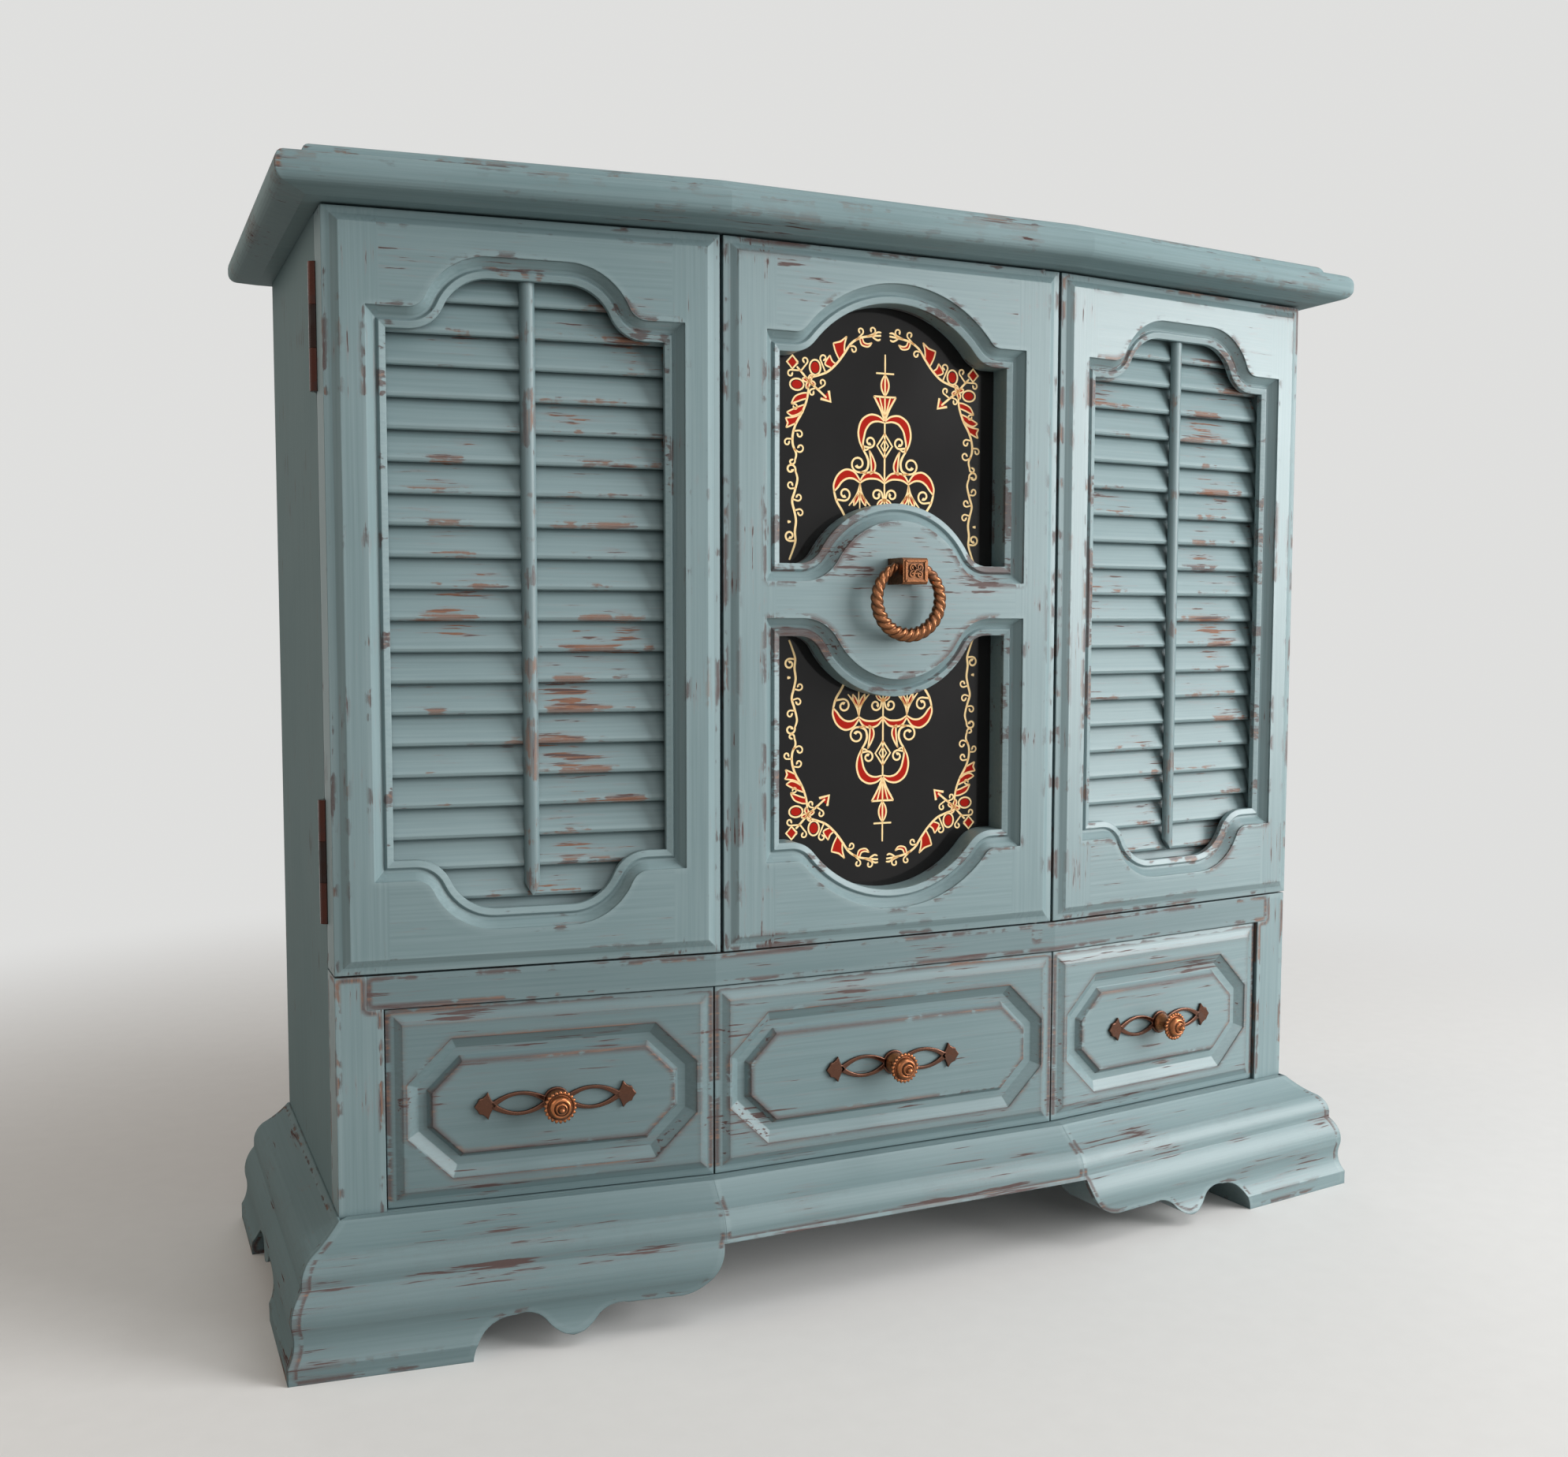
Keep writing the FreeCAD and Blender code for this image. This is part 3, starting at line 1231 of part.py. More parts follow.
front_height = drawer_room - front_gap - fit_clearance
front_bottom = base_height + fit_clearance
pull_up = (octagon_bottom_margin + front_height - octagon_top_margin) / 2
box_end = back_inner - box_back_room
for side in (-1, 0, 1):
    name = side_name(side) if side else "centre"
    if side:
        near, far = body_bend + front_gap / 2, post_inner - front_gap
        width = (far - near) * cant_stretch
        margin = octagon_side_margin
    else:
        near, far = front_gap / 2 - body_bend, body_bend - front_gap / 2
        width = far - near
        margin = octagon_centre_margin

    def drawer_place(thing):
        face_place(thing, side, (near + far) / 2, body_setback, body_bend, front_bottom)

    panel = face_panel(name + "_front_panel", side, width, front_height, front_thickness,
                       front_bevel_width, front_bevel_depth, front_bevel_hollow)
    outline = octagon(width - margin * 2, octagon_bottom_margin, front_height - octagon_top_margin,
                      octagon_corner)
    sunk = feature(name + "_sunk", loft(outline, [
        (0.0, -overrun), (0.0, field_drop), (groove_outer_slope, groove_depth)], zero))
    field = feature(name + "_field", loft(outline, [
        (groove_width, -overrun), (groove_width, field_drop),
        (groove_width - groove_inner_slope, groove_depth)], zero))
    band = combine("Part::Cut", name + "_band", (sunk, field))
    skim_levels = [(groove_width / 2, -overrun), (groove_width / 2, field_drop)]
    skim = feature(name + "_skim", loft(outline, skim_levels, zero))
    screw_hole = rod(name + "_screw_hole", (screw_radius + screw_clearance) * hole_share,
                     screw_reach + overrun, zero, -overrun, pull_up, Vector(0, 1, 0))
    cutters = combine("Part::MultiFuse", name + "_front_cutters", [band, skim, screw_hole])
    front = combine("Part::Cut", name + "_drawer_front", (panel, cutters))
    drawer_place(front)

    # The box behind the front runs straight back between the guides and dividers
    if side:
        inner_wall, outer_wall = body_bend + divider_thickness / 2 + box_gap, post_inner - box_gap
    else:
        outer_wall = body_bend - divider_thickness / 2 - box_gap
        inner_wall = -outer_wall

    def box_front(across):
        if side:
            return facet_line(across, body_setback + front_thickness * cant_stretch, body_bend)
        return body_setback + front_thickness

    flip_side = side or 1
    walls = []
    for number, (start, end) in enumerate(((inner_wall, inner_wall + box_side),
                                           (outer_wall - box_side, outer_wall))):
        walls.append(plan_board(name + "_wall_%d" % number, [
            (start * flip_side, box_front(start)), (end * flip_side, box_front(end)),
            (end * flip_side, box_end), (start * flip_side, box_end)], front_bottom, box_height))
    inside = (inner_wall + box_side, outer_wall - box_side)
    walls.append(plan_board(name + "_wall_back", [
        (inside[0] * flip_side, box_end - box_side), (inside[1] * flip_side, box_end - box_side),
        (inside[1] * flip_side, box_end), (inside[0] * flip_side, box_end)], front_bottom, box_height))
    bottom = plan_board(name + "_drawer_bottom", [
        (inside[0] * flip_side, box_front(inside[0])), (inside[1] * flip_side, box_front(inside[1])),
        (inside[1] * flip_side, box_end - box_side), (inside[0] * flip_side, box_end - box_side)],
        front_bottom + bottom_lift, bottom_thickness)

    # The pierced plate lies on the drawer's raised field, under the knob
    plate = new_body(name + "_pull_plate")
    plate_front = field_drop - plate_thickness
    shapes = [round_path(zero, pull_up, plate_disc)]
    for end in (-1, 1):
        shapes.append(leaf_path(loop_start, loop_end, loop_bow, end))
        tip = plate_reach - plate_fleur
        shapes.append([((tip - plate_fleur) * end, pull_up), (tip * end, pull_up + plate_fleur),
                       (plate_reach * end, pull_up), (tip * end, pull_up - plate_fleur)])
    for number, path in enumerate(shapes):
        shape = draw(plate, "XZ_Plane", plate.Label + "_shape_%d" % number, path, level=-field_drop)
        pad(plate, shape, plate_thickness)
    for end in (-1, 1):
        hole = draw(plate, "XZ_Plane", plate.Label + "_hole", leaf_path(
            loop_start + loop_rim * 2, loop_end - loop_rim * 2, loop_bow - loop_rim, end))
        pocket(plate, hole)
    pocket(plate, draw(plate, "XZ_Plane", plate.Label + "_screw", round_path(
        zero, pull_up, (screw_radius + screw_clearance) * hole_share)))
    drawer_place(plate)

    rim_face = plate_front - knob_rim_height
    dome_foot = rim_face - knob_rim
    nipple_foot = dome_foot - knob_dome
    rim_radius = knob_radius - knob_rim_swell
    turned = ((plate_front, knob_foot), (plate_front - knob_rim_height / 2, knob_neck),
              (rim_face, rim_radius), (rim_face - knob_rim / 2, knob_radius),
              (dome_foot, rim_radius), (nipple_foot, knob_nipple),
              (nipple_foot - knob_nipple_height, knob_tip))
    knob_rings = [[Vector(across, back, up) for across, up in round_path(zero, zero, radius)]
                  for back, radius in turned]
    screw = rod(name + "_screw", screw_radius, screw_reach - plate_front, zero, plate_front, zero,
                Vector(0, 1, 0))
    head = faceted(name + "_knob_head", knob_rings)
    knob = combine("Part::MultiFuse", name + "_knob", [screw, head])
    drawer_place(knob)
    knob.Placement.Base.z = front_bottom + pull_up
    knob.setExpression(".Placement.Base.z", (front_bottom + pull_up).text)
    keep(front, combine("Part::Compound", name + "_drawer_box", walls), bottom, plate, knob)

# Check every object, then write each node to its own file
doc.recompute()
for thing in doc.Objects:
    if "Invalid" in thing.State or "Error" in thing.State:
        raise ValueError("%s is in state %s" % (thing.Label, thing.State))
os.makedirs("parts", exist_ok=True)
for node in nodes:
    if node.Shape.isNull() or not node.Shape.isValid() or not node.Shape.Solids:
        raise ValueError("%s has no valid solid" % node.Label)
    node.Shape.exportStep("parts/" + node.Label + ".step")
print(len(nodes), "nodes", [(node.Label, len(node.Shape.Solids)) for node in nodes])
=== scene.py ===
# %% [markdown]
# # A painted tabletop chest with louvred doors
#
# The chest is a wooden cabinet a little taller than a sheet of writing paper. Its front
# is painted a dusty blue-green and rubbed back at the edges, its pulls are aged
# copper-coloured brass, and the middle door holds black glass with gilded scrollwork.
# The shapes of the woodwork come ready made from a construction model, the frame. This
# lesson dresses it: it gives each board its finish and makes the metalwork and the
# gilding.

# %% Load the frame
import math

import bmesh
import bpy
from mathutils import Euler, Matrix, Vector


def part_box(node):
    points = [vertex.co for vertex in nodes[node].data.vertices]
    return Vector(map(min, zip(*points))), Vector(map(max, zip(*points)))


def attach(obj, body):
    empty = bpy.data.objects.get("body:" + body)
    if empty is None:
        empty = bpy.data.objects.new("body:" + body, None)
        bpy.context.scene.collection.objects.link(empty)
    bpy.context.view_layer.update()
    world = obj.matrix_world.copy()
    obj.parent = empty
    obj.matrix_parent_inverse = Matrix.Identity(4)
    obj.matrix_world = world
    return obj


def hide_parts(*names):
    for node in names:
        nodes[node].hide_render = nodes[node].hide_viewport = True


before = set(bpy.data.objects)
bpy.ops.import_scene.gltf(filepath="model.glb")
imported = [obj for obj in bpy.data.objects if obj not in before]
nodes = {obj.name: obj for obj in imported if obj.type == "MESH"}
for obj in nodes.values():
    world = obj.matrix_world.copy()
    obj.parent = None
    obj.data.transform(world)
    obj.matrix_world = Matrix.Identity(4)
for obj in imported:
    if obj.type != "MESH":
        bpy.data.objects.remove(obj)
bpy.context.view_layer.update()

# %% [markdown]
# # The camera
#
# A camera could be moved by hand until the picture looks right. It is quicker to solve
# it from the cabinet's own corners, because the construction model gives their real
# places. The numbers below are what that gave: eye height near the middle of the
# doors, half a metre in front of the chest and to its left, and a fairly wide lens.

# %% Camera
MM = 0.001
CAMERA_PLACE = (-0.24778, -0.52378, 0.22187)
TILT, TURN, ROLL = (math.radians(angle) for angle in (85.923, -24.297, 0.097))
LENS = 35.626
camera = bpy.data.objects.new("Camera", bpy.data.cameras.new("Camera"))
bpy.context.scene.collection.objects.link(camera)
bpy.context.scene.camera = camera
aim = Euler((TILT, 0, TURN)).to_matrix() @ Matrix.Rotation(ROLL, 3, "Z")
camera.matrix_world = Matrix.Translation(CAMERA_PLACE) @ aim.to_4x4()
camera.data.sensor_fit = "HORIZONTAL"
camera.data.sensor_width = 36
camera.data.lens = LENS
camera.data.clip_start = 0.01
bpy.context.scene.view_settings.view_transform = "Standard"
print("camera at", [round(v, 3) for v in camera.location], "lens", round(camera.data.lens, 1))

# %% [markdown]
# # Floor, lamps and sky
#
# A studio sweep would hide the chest from behind, so the floor is one wide pale disc
# and the world itself is the backdrop. A large soft lamp on the right stands for the
# window that the finish needs, because mouldings only show when light comes from one
# side. A second one in front opens the shadows, a third from above draws the upper edge
# of each moulding, and a weak one behind keeps the back from being black. The last one
# is small, near and warm, so that the shaded left side is lightest at its top.

# %% Floor
BACKDROP = (0.74, 0.74, 0.73, 1)
FLOOR_RADIUS = 6


def new_object(name, mesh):
    """Put a finished mesh into the scene."""
    made = bpy.data.objects.new(name, mesh)
    bpy.context.scene.collection.objects.link(made)
    return made


ground = bmesh.new()
bmesh.ops.create_circle(ground, cap_ends=True, radius=FLOOR_RADIUS, segments=96)
floor_mesh = bpy.data.meshes.new("studio_floor")
ground.to_mesh(floor_mesh)
ground.free()
floor = new_object("studio_floor", floor_mesh)
print("floor is", round(floor.dimensions.x, 1), "metres wide")

# %% Lamps
CHEST_MIDDLE = Vector((0, 0, 0.18))


def lamp(name, place, size, power, tint=(1.0, 1.0, 1.0)):
    """A square soft light that points at the middle of the chest."""
    light = bpy.data.lights.new(name, "AREA")
    light.size = size
    light.energy = power
    light.color = tint
    holder = bpy.data.objects.new(name, light)
    bpy.context.scene.collection.objects.link(holder)
    holder.location = place
    holder.rotation_euler = (CHEST_MIDDLE - Vector(place)).to_track_quat("-Z", "Y").to_euler()


lamp("window", (1.06, -0.88, 0.48), 0.80, 20)
lamp("room", (0.00, -1.80, 0.80), 1.4, 7.5)
lamp("ceiling", (0.75, -0.60, 1.50), 0.9, 8)
lamp("behind", (0.35, 1.90, 0.90), 1.4, 6)
lamp("left", (-0.95, 0.15, 0.80), 0.6, 2.4, (1.0, 0.86, 0.72))

# %% [markdown]
# # Shader sums as Python sums
#
# A material is a graph of nodes, and a graph is slow to read. The two small classes
# below let the rest of the lesson write it as sums. A Thread is one output of a node,
# and adding to it, taking away, multiplying or dividing makes a Math node. A Finish is
# a material, and its method `node` makes any other node from its type, its settings
# and what goes into its sockets.

# %% Threads
class Thread:
    """An output of a node, which can stand in a Python sum."""

    def __init__(self, finish, socket):
        self.finish = finish
        self.socket = socket

    def reckon(self, operation, first, second=0.0):
        if self.socket.type == "VECTOR":
            kind = "ShaderNodeVectorMath"
        else:
            kind = "ShaderNodeMath"
        return self.finish.node(kind, {"operation": operation}, {0: first, 1: second})

    def __add__(self, other):
        return self.reckon("ADD", self, other)

    __radd__ = __add__

    def __sub__(self, other):
        return self.reckon("SUBTRACT", self, other)

    def __rsub__(self, other):
        return self.reckon("SUBTRACT", other, self)

    def __mul__(self, other):
        return self.reckon("MULTIPLY", self, other)

    def __truediv__(self, other):
        return self.reckon("DIVIDE", self, other)

    def __abs__(self):
        return self.reckon("ABSOLUTE", self)

    def above(self, other):
        return self.reckon("MAXIMUM", self, other)

    def below(self, other):
        return self.reckon("MINIMUM", self, other)


# %% Finishes
RAYS = 6


class Finish:
    """A material that is built with a few calls."""

    def __init__(self, name):
        self.material = bpy.data.materials.new(name)
        self.material.use_nodes = True
        self.tree = self.material.node_tree
        self.shader = self.tree.nodes["Principled BSDF"]

    def node(self, kind, settings=None, sockets=None, output=0):
        made = self.tree.nodes.new(kind)
        for name, value in (settings or {}).items():
            setattr(made, name, value)
        for name, value in (sockets or {}).items():
            self.feed(made.inputs[name], value)
        return Thread(self, made.outputs[output])

    def feed(self, socket, value):
        if isinstance(value, Thread):
            self.tree.links.new(value.socket, socket)
        elif socket.type == "VECTOR" and isinstance(value, (int, float)):
            socket.default_value = (value,) * 3
        else:
            socket.default_value = value

    def set(self, **sockets):
        for name, value in sockets.items():
            self.feed(self.shader.inputs[name.replace("_", " ")], value)

    def colour(self, factor, first, second):
        """Go from the first colour to the second as the factor rises."""
        return self.node("ShaderNodeMix", {"data_type": "RGBA"},
                         {0: factor, 6: first, 7: second}, output=2)

    def step(self, value, low, high):
        """0 under the low value, 1 over the high one, and smooth between."""
        return self.node("ShaderNodeMapRange", {"interpolation_type": "SMOOTHSTEP"},
                         {"Value": value, "From Min": low, "From Max": high})

    def noise(self, place, detail=2.0, rough=0.5):
        return self.node("ShaderNodeTexNoise", None,
                         {"Vector": place, "Scale": 1.0, "Detail": detail, "Roughness": rough})

    def place(self):
        """Where the surface is on the chest at rest, in millimetres."""
        return self.node("ShaderNodeTexCoord", output="Object") * 1000.0

    def split(self, place):
        parts = self.tree.nodes.new("ShaderNodeSeparateXYZ")
        self.feed(parts.inputs[0], place)
        return [Thread(self, output) for output in parts.outputs]

    def join(self, x, y, z):
        return self.node("ShaderNodeCombineXYZ", None, {0: x, 1: y, 2: z})

    def hollow(self, reach):
        """1 on open surfaces and less in corners, found by looking around."""
        return self.node("ShaderNodeAmbientOcclusion", {"samples": RAYS},
                         {"Distance": reach}, output="AO")

    def edge(self, reach):
        """0 on flat places and up to 1 on outward edges, found by looking inwards."""
        return 1.0 - self.node("ShaderNodeAmbientOcclusion", {"samples": RAYS, "inside": True},
                               {"Distance": reach}, output="AO")

    def bump(self, height, depth, rounding=None):
        """Raise the surface by a height of 0 to 1, on edges that are softened first."""
        sockets = {"Height": height, "Distance": depth, "Strength": 1.0}
        if rounding:
            sockets["Normal"] = self.node("ShaderNodeBevel", {"samples": RAYS}, {"Radius": rounding})
        self.set(Normal=self.node("ShaderNodeBump", None, sockets))


print("the two classes are ready")

# %% [markdown]
# # A pale room that lights softly
#
# The floor and the world should look pale, yet a white floor throws so much light up
# that mouldings lose their shadows. The Light Path node tells which kind of ray asks.
# Rays from the camera, and those mirrored or passed on to it, get the pale finish.
# Rays that carry light onto the chest get a duller one. Away from the chest the floor
# fades into the colour of the world, so that no horizon cuts across the picture. The
# fade goes by the square of the distance in metres, which saves taking a root.

# %% Floor finish and world
def seen(finish):
    """1 for rays that end in the picture, 0 for rays that light the chest."""
    rays = [finish.node("ShaderNodeLightPath", output=name)
            for name in ("Is Camera Ray", "Is Glossy Ray", "Is Transmission Ray")]
    return rays[0].above(rays[1]).above(rays[2])


SPECK = (0.78, 0.78, 0.77, 1)
DULL_FLOOR = (0.34, 0.32, 0.30, 1)
WARM_SKY = (1.0, 0.95, 0.90, 1)
HAZE_FROM, HAZE_TO = 0.08, 0.52
floor_finish = Finish("studio_floor")
speckle = floor_finish.noise(floor_finish.place() / 9.0, detail=3.0)
floor_finish.set(Base_Color=floor_finish.colour(speckle, BACKDROP, SPECK), Roughness=0.75)
dull = floor_finish.node("ShaderNodeBsdfDiffuse", None, {"Color": DULL_FLOOR})
across, depth = floor_finish.split(floor_finish.place() * MM)[:2]
far = floor_finish.step(across * across + depth * depth, HAZE_FROM, HAZE_TO)
haze = floor_finish.node("ShaderNodeEmission", None, {"Color": BACKDROP})
pale_floor = floor_finish.node("ShaderNodeMixShader", None, {
    0: far, 1: Thread(floor_finish, floor_finish.shader.outputs[0]), 2: haze})
floor_choice = floor_finish.node("ShaderNodeMixShader", None, {
    0: seen(floor_finish), 1: dull, 2: pale_floor})
floor_out = floor_finish.tree.nodes["Material Output"]
floor_finish.tree.links.new(floor_choice.socket, floor_out.inputs["Surface"])
floor_mesh.materials.append(floor_finish.material)


class Sky(Finish):
    """The world, built with the same calls as a material."""

    def __init__(self, world):
        world.use_nodes = True
        self.tree = world.node_tree
        self.shader = self.tree.nodes["Background"]


world = bpy.data.worlds.new("studio")
bpy.context.scene.world = world
sky = Sky(world)
sky.set(Color=WARM_SKY, Strength=0.20)
pale_sky = sky.node("ShaderNodeBackground", None, {"Color": BACKDROP})
sky_choice = sky.node("ShaderNodeMixShader", None, {
    0: seen(sky), 1: Thread(sky, sky.shader.outputs[0]), 2: pale_sky})
sky.tree.links.new(sky_choice.socket, sky.tree.nodes["World Output"].inputs["Surface"])
print("world and floor are pale")

# %% [markdown]
# # Rubbed paint
#
# Rubbed paint has three layers to copy. The paint itself is slightly uneven, with
# brush marks along the grain, and it is darker in the corners: painted shade, which
# also stands for a dark glaze there. Where sandpaper went over it, the brown wood
# comes through in short dashes that run with the grain. And every outward edge is
# worn a little and painted a little lighter, a painted highlight. A photograph of
# such paint could be wrapped round the boards, but it would repeat and show seams.
# Noise that is stretched along the grain follows each board by itself, and the
# renderer can find the edges.
#
# The side facets of the front turn back by seven degrees. Noise in plain chest
# coordinates would slide off their faces, so the depth is unbent first.

# %% Grain coordinates
PAINT = (0.160, 0.240, 0.252, 1)
PAINT_LIGHT = (0.250, 0.338, 0.354, 1)
PAINT_SHADE = (0.060, 0.104, 0.112, 1)
THIN_PAINT = (0.235, 0.205, 0.205, 1)
RUBBED_WOOD = (0.215, 0.098, 0.056, 1)
DARK_STAIN = (0.080, 0.052, 0.050, 1)
BEND_ACROSS = 64.0
BEND_SLOPE = 0.12185
EDGE_REACH = 2.2 * MM
CORNER_REACH = 3.5 * MM
THIN_FROM, THIN_TO = 0.60, 0.74
BARE_FROM, BARE_TO = 0.715, 0.750
EDGE_FROM, EDGE_TO = 0.60, 0.63
BRUSH_DEPTH = 0.12 * MM
SOFT_EDGE = 0.45 * MM


def unbent(finish):
    """Across, depth and height in millimetres, with the side facets folded flat."""
    x, y, z = finish.split(finish.place())
    return x, y - (abs(x) - BEND_ACROSS).above(0.0) * BEND_SLOPE, z


def stretched(finish, parts, along, long, short, shift):
    """A place whose noise is long in one direction and short in the other two."""
    scaled = [part / (long if letter == along else short) + shift for part, letter in zip(parts, "xyz")]
    return finish.join(*scaled)


# %% Rubbed paint
def rubbed_paint(name, along, rubs, edges=1.0, stained=0.6, long=17.0, stile=None, places=(),
                 sheen=0.5, painted_shade=0.0, blots=0.0):
    """Dusty paint over brown wood, rubbed through in dashes along the grain.

    Rubs, edges and stained are how much of the faces and of the edges is rubbed, and
    how dark the wood under them is. Long is the length of a dash in millimetres.
    A stile is (middle, half width) of a door, outside which the grain stands upright.
    A place is (axis, middle, half width, weight): a band that is rubbed more or less.
    Painted shade darkens the whole board by a share from 0 to 1, where it stands
    in weaker light, and blots is how much of its wear comes in wider patches.
    """
    finish = Finish(name)
    parts = unbent(finish)
    x, y, z = parts
    marks = finish.noise(stretched(finish, parts, along, 55.0, 0.9, 3.0), detail=3.0)
    dashes = finish.noise(stretched(finish, parts, along, long, 1.1, 11.0), detail=3.0, rough=0.62)
    if stile:
        upright = finish.step(abs(x - stile[0]), stile[1] - 0.5, stile[1] + 0.5)
        marks_up = finish.noise(stretched(finish, parts, "z", 55.0, 0.9, 3.0), detail=3.0)
        dashes_up = finish.noise(stretched(finish, parts, "z", long, 1.1, 11.0), detail=3.0, rough=0.62)
        marks = marks + (marks_up - marks) * upright
        dashes = dashes + (dashes_up - dashes) * upright
    clouds = finish.noise(finish.join(x / 32.0, y / 32.0, z / 16.0), detail=1.0)
    patches = finish.noise(finish.join(x / 90.0, y / 90.0, z / 70.0), detail=2.0)
    specks = finish.noise(finish.join(x / 5.0, y / 5.0, z / 5.0), detail=2.0)
    edge = finish.edge(EDGE_REACH)
    sharp = finish.step(edge, 0.30, 0.42)
    worn_and_highlit_edge = finish.step(edge, 0.02, 0.13) * (1.0 - sharp * 0.7)

    reach = (clouds - 0.5) * 0.62 + dashes + rubs
    if blots:
        spots = finish.noise(finish.join(x / 13.0, y / 13.0, z / 6.0), detail=2.0, rough=0.6)
        reach = reach + (spots - 0.5) * blots
    edge_reach = dashes * 0.25 + specks * 0.30 + clouds * 0.45 + worn_and_highlit_edge * 0.10 * edges + rubs
    for axis, middle, half, weight in places:
        near = (1.0 - finish.step(abs(parts["xyz".index(axis)] - middle), half * 0.3, half)) * weight
        reach = reach + near
        edge_reach = edge_reach + near
    rubbed = finish.step(reach, BARE_FROM, BARE_TO)
    on_edge = finish.step(edge_reach, EDGE_FROM, EDGE_TO) * worn_and_highlit_edge
    normal = finish.split(finish.node("ShaderNodeTexCoord", output="Normal"))
    outside = 1.0 - finish.step(normal[1], 0.15, 0.45)
    bare = (rubbed + on_edge).below(1.0) * outside
    thin = finish.step(reach, THIN_FROM, THIN_TO) * outside * 0.40

    # Painted shade: darker in corners and recesses, which also stands for a dark glaze there.
    corner_shade_and_glaze = 1.0 - finish.step(finish.hollow(CORNER_REACH), 0.15, 0.80)
    # The tone rises on outward edges, a painted highlight where edges catch the light; the same edge mask
    # also drives the real wear.
    tone = marks - 0.5 + (patches - 0.5) * 0.9 + worn_and_highlit_edge * 0.40 + 0.32
    paint = finish.colour(tone.above(0.0).below(1.0), PAINT, PAINT_LIGHT)
    paint = finish.colour(thin, paint, THIN_PAINT)
    # Painted shade darkens the paint in corners and, by the board's own share, all over.
    paint = finish.colour((corner_shade_and_glaze * 0.70).above(painted_shade), paint, PAINT_SHADE)
    stain = finish.step(dashes * 0.5 + marks * 0.5 + stained * 0.1, 0.53, 0.60)
    wood = finish.colour(stain * 0.95, RUBBED_WOOD, DARK_STAIN)
    finish.set(Base_Color=finish.colour(bare, paint, wood),
               Roughness=0.64 - sheen * 0.4 + bare * 0.24 + (marks - 0.5) * 0.18,
               Specular_IOR_Level=sheen)
    finish.bump(marks * 0.35 - bare * 0.5, BRUSH_DEPTH, rounding=SOFT_EDGE)
    return finish.material


print("the paint recipe is ready")

# %% [markdown]
# # The same recipe, board by board
#
# Each kind of board is rubbed in its own places: the drawers along their sunk bands,
# the base along its steps, the slats beside the rods, the middle door at the boss. The
# left of the chest gets more painted shade than the right, since less light falls on
# it. So each kind of board gets its own copy of the recipe, with places in millimetres.

# %% Paint for each board
SIDE_DOOR_MIDDLE = 122.8
SIDE_STILE = 43.5
DOOR_MIDDLE = sum(corner.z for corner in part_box("centre_door_frame")) / 2
top_paint = rubbed_paint("rubbed_paint_top", "x", -0.005, edges=0.7, stained=0.5, sheen=0.12)
# The rods and the rail are darkened by painted shade.
rod_paint = rubbed_paint("rubbed_paint_rods", "z", -0.02, painted_shade=0.36)
rail_paint = rubbed_paint("rubbed_paint_rail", "x", 0.02, stained=1.2, long=26.0, painted_shade=0.36)
drawer_low, drawer_high = (corner.z * 1000 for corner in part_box("centre_drawer_front"))
drawer_paints = [
    rubbed_paint(name + "_drawer_paint", "x", 0.008, edges=1.7, stained=1.2, long=26.0,
                 painted_shade=painted_shade, sheen=sheen, places=[
                     ("z", drawer_low, 2.4, -0.25), ("z", drawer_low + 6.0, 4.0, 0.065),
                     ("z", drawer_low + 14.0, 3.0, 0.040), ("z", drawer_high - 13.0, 4.0, 0.075),
                     ("z", drawer_high - 5.0, 4.5, 0.070), ("z", drawer_high, 1.6, -0.10)])
    for name, painted_shade, sheen in (("left", 0.40, 0.50), ("centre", 0.18, 0.50), ("right", 0.0, 0.60))]
base_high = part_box("base_front_centre")[1].z * 1000
base_paints = [
    rubbed_paint(name + "_base_paint", "x", -0.002, stained=1.4, long=26.0, painted_shade=painted_shade, places=[
        ("z", 15.5, 2.4, 0.050), ("z", 26.5, 3.2, 0.120), ("z", 35.0, 2.8, 0.070),
        ("z", base_high, 1.6, -0.25)])
    for name, painted_shade in (("left", 0.38), ("centre", 0.22), ("right", 0.06))]
post_paint = rubbed_paint("rubbed_paint_posts", "z", 0.012, stained=0.8)
centre_paint = rubbed_paint("rubbed_paint_centre_door", "x", -0.028, stained=1.6, stile=(0.0, 45.0),
                            places=[("z", DOOR_MIDDLE * 1000, 34.0, 0.068)], blots=0.50)
left_door_paint = rubbed_paint("rubbed_paint_left_door", "x", -0.035, edges=0.8, stained=1.2,
                               stile=(-SIDE_DOOR_MIDDLE, SIDE_STILE), sheen=0.36)
right_door_paint = rubbed_paint("rubbed_paint_right_door", "x", -0.012, stained=1.0,
                                stile=(SIDE_DOOR_MIDDLE, SIDE_STILE), sheen=0.60)
left_slat_paint = rubbed_paint("rubbed_paint_left_slats", "x", -0.015, edges=0.4, stained=0.0, places=[
    ("x", 22.0 - SIDE_DOOR_MIDDLE, 22.0, 0.085), ("x", -22.0 - SIDE_DOOR_MIDDLE, 13.0, 0.060)])
right_slat_paint = rubbed_paint("rubbed_paint_right_slats", "x", -0.015, edges=0.4, stained=0.2, places=[
    ("x", SIDE_DOOR_MIDDLE + 22.0, 22.0, 0.060), ("x", SIDE_DOOR_MIDDLE - 22.0, 13.0, 0.030)])
print("painted finishes:", [m.name for m in bpy.data.materials if "paint" in m.name])

# %% [markdown]
# # Plain painted sides and brown wood inside
#
# The sides are painted too, but hardly rubbed, so they use the same recipe with the
# grain upright and less wear. Inside, where no brush went, the chest is stained wood.
# Its figure is made from rings: a wave over stretched noise gives the long lines,
# and a finer noise gives the pores.

# %% Sides and inner wood
# The sides are darkened by painted shade, and their lower strip more.
side_paint = rubbed_paint("painted_sides", "z", -0.05, edges=0.4, sheen=0.05, painted_shade=0.20)
side_base_paint = rubbed_paint("painted_side_base", "y", -0.01, stained=1.0, sheen=0.1, painted_shade=0.35)


